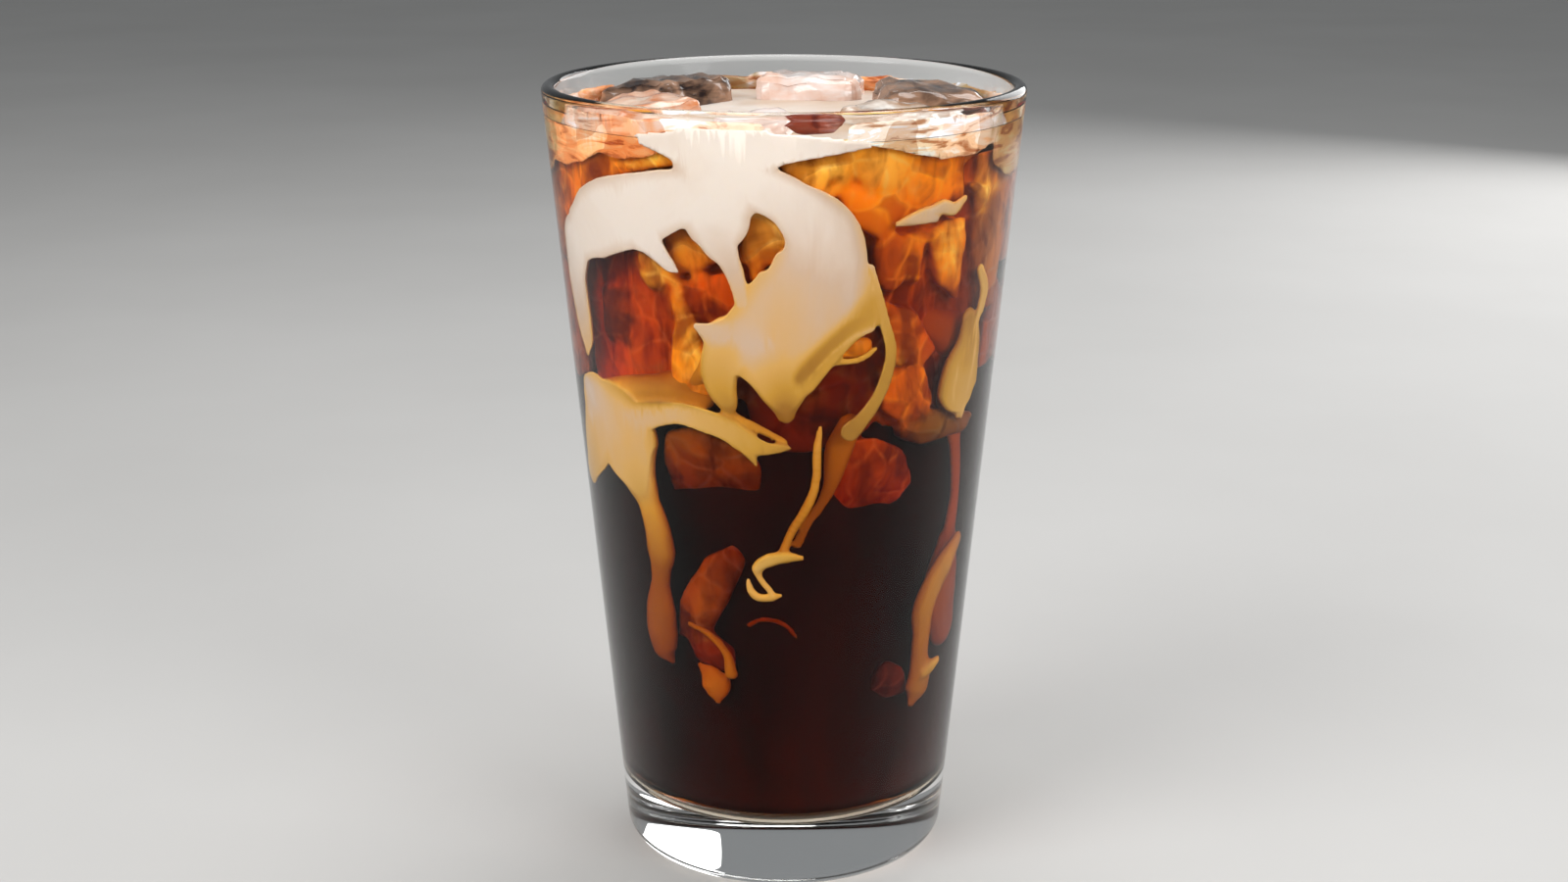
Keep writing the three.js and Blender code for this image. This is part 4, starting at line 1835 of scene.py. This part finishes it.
    def roughen(self, piece: Piece, size: float, height: float) -> None:
        """Melts a piece's faces into shallow hollows.

        Args:
            piece: the ice to melt.
            size: how wide the hollows are, in millimetres.
            height: how deep they are, in millimetres.
        """
        clouds = bpy.data.textures.new(f"{piece.name}_melt", "CLOUDS")
        clouds.noise_scale = size * MM
        clouds.noise_depth = 2
        apply_modifier(
            piece, "DISPLACE", texture=clouds, texture_coords="GLOBAL", strength=height * MM, mid_level=0.7
        )
        bpy.data.textures.remove(clouds)

    def facet_samples(self, shard: Shard) -> np.ndarray:
        """Points spread over a shard's facet, in metres."""
        corners = [
            self.tumbler.wall_point(corner.angle, corner.height, corner.film) for corner in shard.corners
        ]
        middle = sum(corners, Vector()) / len(corners)
        points = [middle]
        for first, second in zip(corners, corners[1:] + corners[:1]):
            for edge_share in self.edge_shares:
                edge = first.lerp(second, edge_share)
                points.extend(middle.lerp(edge, reach) for reach in self.reach_shares)
        return np.array([tuple(point) for point in points])

    def tint(self, mass: Piece, shards: Sequence[Shard]) -> None:
        """Stores on each vertex the blended tones of the facets near it."""
        places = np.empty(len(mass.data.vertices) * 3)
        mass.data.vertices.foreach_get("co", places)
        places = places.reshape(-1, 3)
        nearness = np.zeros(len(places))
        total = np.zeros((len(places), 3))
        for shard in shards:
            distance = np.full(len(places), np.inf)
            for point in self.facet_samples(shard):
                distance = np.minimum(distance, np.linalg.norm(places - point, axis=1))
            weight = 1 / (distance / MM + self.tone_blur) ** self.tone_falloff
            nearness += weight
            total += weight[:, None] * np.array(SUNK_TONES[shard.tone])
        colours = np.ones((len(places), 4))
        colours[:, :3] = total / nearness[:, None]
        layer = mass.data.attributes.new(self.milky.tone_name, "FLOAT_COLOR", "POINT")
        layer.data.foreach_set("color", colours.ravel())

    def mass(self, name: str, shards: Sequence[Shard], depth: float, flush: float) -> Piece:
        """Fuses lumps into one body that carries their tones.

        Args:
            name: the body's name.
            shards: the lumps' facets.
            depth: how far the lumps reach behind their facets, in millimetres.
            flush: how far the body is pushed out flat against the glass, in millimetres.

        Returns:
            The body.
        """
        body = join([self.lump(shard, depth) for shard in shards], name)
        apply_modifier(body, "REMESH", mode="VOXEL", voxel_size=self.voxel * MM)
        apply_modifier(body, "SMOOTH", factor=0.5, iterations=self.smoothing)
        move_vertices(body, lambda place: self.keep_in(place, flush))
        apply_modifier(body, "DECIMATE", ratio=self.kept_faces)
        smooth_shade(body)
        self.tint(body, shards)
        return body

    def keep_in(self, place: Vector, flush: float) -> Vector:
        """Pushes a place out towards the glass, and keeps it clear of the glass."""
        return self.tumbler.at_depth(place, max(self.tumbler.depth_of(place) - flush, self.wall_gap))

    def build(self) -> tuple[list[Piece], list[Piece]]:
        """Makes every piece of ice.

        Returns:
            The floating pieces, then the sunk mass and the frosty crust.
        """
        floating = [self.top_cube(cube) for cube in self.top_cubes]
        sunk = self.mass("sunk_ice", self.shards, self.shard_depth, 0)
        crust = self.mass("frosty_crust", self.crust_shards, self.crust_depth, self.crust_flush)
        return floating, [sunk, crust]

    def dress(self, floating: list[Piece], masses: list[Piece]) -> None:
        """Gives the ice its finishes and places."""
        wet = {tone: finish.material() for tone, finish in WET_FINISHES.items()}
        for piece, cube in zip(floating, self.top_cubes):
            coat(piece, wet[cube.tone])
            place_piece(piece, [cube.node])
        for mass, finish in zip(masses, (self.milky, self.frosty)):
            coat(mass, finish.material())
            place_piece(mass)


# The coffee


@dataclass
class Coffee:
    """The drink: fills the well, with a lip that climbs the wall and hollows for the floating ice."""

    tumbler: Tumbler
    level: float = 141.5
    reach_into_wall: float = 0.15
    climb: float = 1.1
    climb_width: float = 3.5
    climb_steps: int = 6
    ice_shrink: float = 0.15
    # The core is painted shade: an opaque dark body set in from the wall where the deep drink looks dark.
    core_top: float = 122
    core_film: tuple[float, float] = (1.5, 6)
    core_start: float = 16
    core_rise: float = 22
    finish: ColdBrew = ColdBrew()
    core_finish: PaintedShadeCore = PaintedShadeCore()

    def surface_rings(self) -> list[Ring]:
        """Rings of the lip's curve from the wall in to the level surface, in millimetres."""
        edge = self.tumbler.inner_radius(self.level) + self.reach_into_wall
        rings = []
        for step in range(1, self.climb_steps + 1):
            share = step / self.climb_steps
            rise = self.climb * (1 - share) ** 2
            rings.append((edge - self.climb_width * share, self.level + rise))
        rings.append((edge / 2, self.level))
        return rings

    def core(self) -> Piece:
        """A painted shade body inside the drink, further from the wall as it rises.

        Returns:
            The core piece.
        """
        thin, thick = self.core_film
        rings = []
        for radius, height in self.tumbler.well_rings(-thin, self.core_top):
            share = min(max((height - self.core_start) / self.core_rise, 0), 1)
            rings.append(((radius - (thick - thin) * share) * MM, height * MM))
        core = turn_rings("painted_shade_core", rings, self.tumbler.turn_steps)
        smooth_shade(core, self.tumbler.crease_angle)
        return core

    def build(self, floating: list[Piece]) -> Piece:
        """Turns the drink and hollows it round the floating ice.

        Args:
            floating: the ice pieces that break the surface.

        Returns:
            The coffee piece.
        """
        rings = self.tumbler.well_rings(self.reach_into_wall, self.level + self.climb) + self.surface_rings()
        places = [(radius * MM, height * MM) for radius, height in rings]
        coffee = turn_rings("coffee_fill", places, self.tumbler.turn_steps)
        for piece in floating:
            pick(piece)
            bpy.ops.object.duplicate()
            hollow = bpy.context.object
            centre = sum((vertex.co for vertex in hollow.data.vertices), Vector()) / len(hollow.data.vertices)
            half = max((vertex.co - centre).length for vertex in hollow.data.vertices)
            scale = 1 - self.ice_shrink * MM / half
            move_vertices(hollow, lambda place: centre + (place - centre) * scale)
            apply_modifier(coffee, "BOOLEAN", operation="DIFFERENCE", object=hollow, solver="MANIFOLD")
            bpy.data.objects.remove(hollow)
        smooth_shade(coffee, self.tumbler.crease_angle)
        return coffee

    def dress(self, coffee: Piece, core: Piece) -> None:
        """Gives the coffee and its painted shade core their finishes and places."""
        coat(coffee, self.finish.material())
        place_piece(coffee, ["cold_brew"])
        coat(core, self.core_finish.material())
        place_piece(core)


# The studio


@dataclass(frozen=True)
class SoftLight:
    """A large soft lamp: place, target, size in metres, and power in watts."""

    name: str
    place: tuple[float, float, float]
    target: tuple[float, float, float]
    size: float
    power: float
    colour: Colour = (1, 1, 1)


@dataclass
class Studio:
    """Pale floor, soft lamps and the camera."""

    lamps: tuple[SoftLight, ...] = (
        SoftLight("key_lamp", (-0.55, -0.45, 0.55), (0, 0, 0.09), 0.5, 4.3),
        SoftLight("fill_lamp", (0.6, -0.5, 0.45), (0, 0, 0.09), 0.5, 3.2),
        SoftLight("top_lamp", (0.1, 0.15, 0.8), (0, 0, 0.12), 0.5, 3),
        SoftLight("back_lamp", (0.5, 0.7, 0.35), (0, 0, 0.08), 0.6, 2.5),
    )
    sky: Colour = (0.9, 0.93, 0.95)
    sky_strength: float = 0.25
    floor_size: float = 8.0
    floor_gap: float = 0.3
    camera_place: tuple[float, float, float] = (0, -0.4204, 0.1996)
    camera_pitch: float = 15.72
    lens: float = 52.53
    frame_lift: float = 10 / 1600
    exposure: float = 0.0
    finish: PaleFloor = field(default_factory=PaleFloor)

    def build(self) -> None:
        """Sets the stage, the light and the camera."""
        self.floor()
        for lamp in self.lamps:
            self.lamp(lamp)
        self.world()
        self.camera()
        self.picture()

    def floor(self) -> None:
        """Lays the floor a hair under the foot, so that the base keeps its clear look."""
        clear_selection()
        place = (0, 0, -self.floor_gap * MM)
        bpy.ops.mesh.primitive_grid_add(
            x_subdivisions=8, y_subdivisions=8, size=self.floor_size, location=place
        )
        floor = bpy.context.object
        floor.name = "studio_floor"
        settle(floor)
        coat(floor, self.finish.material())

    def lamp(self, lamp: SoftLight) -> None:
        """Hangs a lamp that faces its target."""
        clear_selection()
        turn = (Vector(lamp.target) - Vector(lamp.place)).to_track_quat("-Z", "Y").to_euler()
        bpy.ops.object.light_add(type="AREA", location=lamp.place, rotation=turn)
        light = bpy.context.object
        light.name = lamp.name
        light.data.shape = "DISK"
        light.data.size = lamp.size
        light.data.energy = lamp.power
        light.data.color = lamp.colour

    def world(self) -> None:
        """Fills in with an even pale sky."""
        world = bpy.data.worlds.new("studio_sky")
        world.use_nodes = True
        background = world.node_tree.nodes["Background"]
        background.inputs["Color"].default_value = (*self.sky, 1)
        background.inputs["Strength"].default_value = self.sky_strength
        bpy.context.scene.world = world

    def camera(self) -> None:
        """Stands the camera at the viewing angle."""
        clear_selection()
        turn = (math.radians(90 - self.camera_pitch), 0, 0)
        bpy.ops.object.camera_add(location=self.camera_place, rotation=turn)
        camera = bpy.context.object
        camera.data.lens = self.lens
        camera.data.sensor_width = 36
        camera.data.shift_y = -self.frame_lift
        camera.data.clip_start = 0.01
        bpy.context.scene.camera = camera

    def picture(self) -> None:
        """Sets plain colours and enough bounces for glass in liquid."""
        scene = bpy.context.scene
        scene.view_settings.view_transform = "Standard"
        scene.view_settings.look = "None"
        scene.view_settings.exposure = self.exposure
        scene.cycles.max_bounces = 24
        scene.cycles.transmission_bounces = 20
        scene.cycles.glossy_bounces = 8
        scene.cycles.diffuse_bounces = 6
        scene.cycles.transparent_max_bounces = 24


def main() -> None:
    """Builds every piece in order, then the studio."""
    logging.basicConfig(level=logging.INFO, format="%(name)s: %(message)s")
    tumbler = Tumbler()
    glass = tumbler.build()
    tumbler.dress(glass)
    ice = Ice(tumbler)
    floating, masses = ice.build()
    coffee = Coffee(tumbler)
    fill = coffee.build(floating)
    coffee.dress(fill, coffee.core())
    ice.dress(floating, masses)
    cream = Cream(tumbler)
    strands = cream.build()
    cream.dress(strands)
    Studio().build()
    clear_selection()


if __name__ == "__main__":
    main()
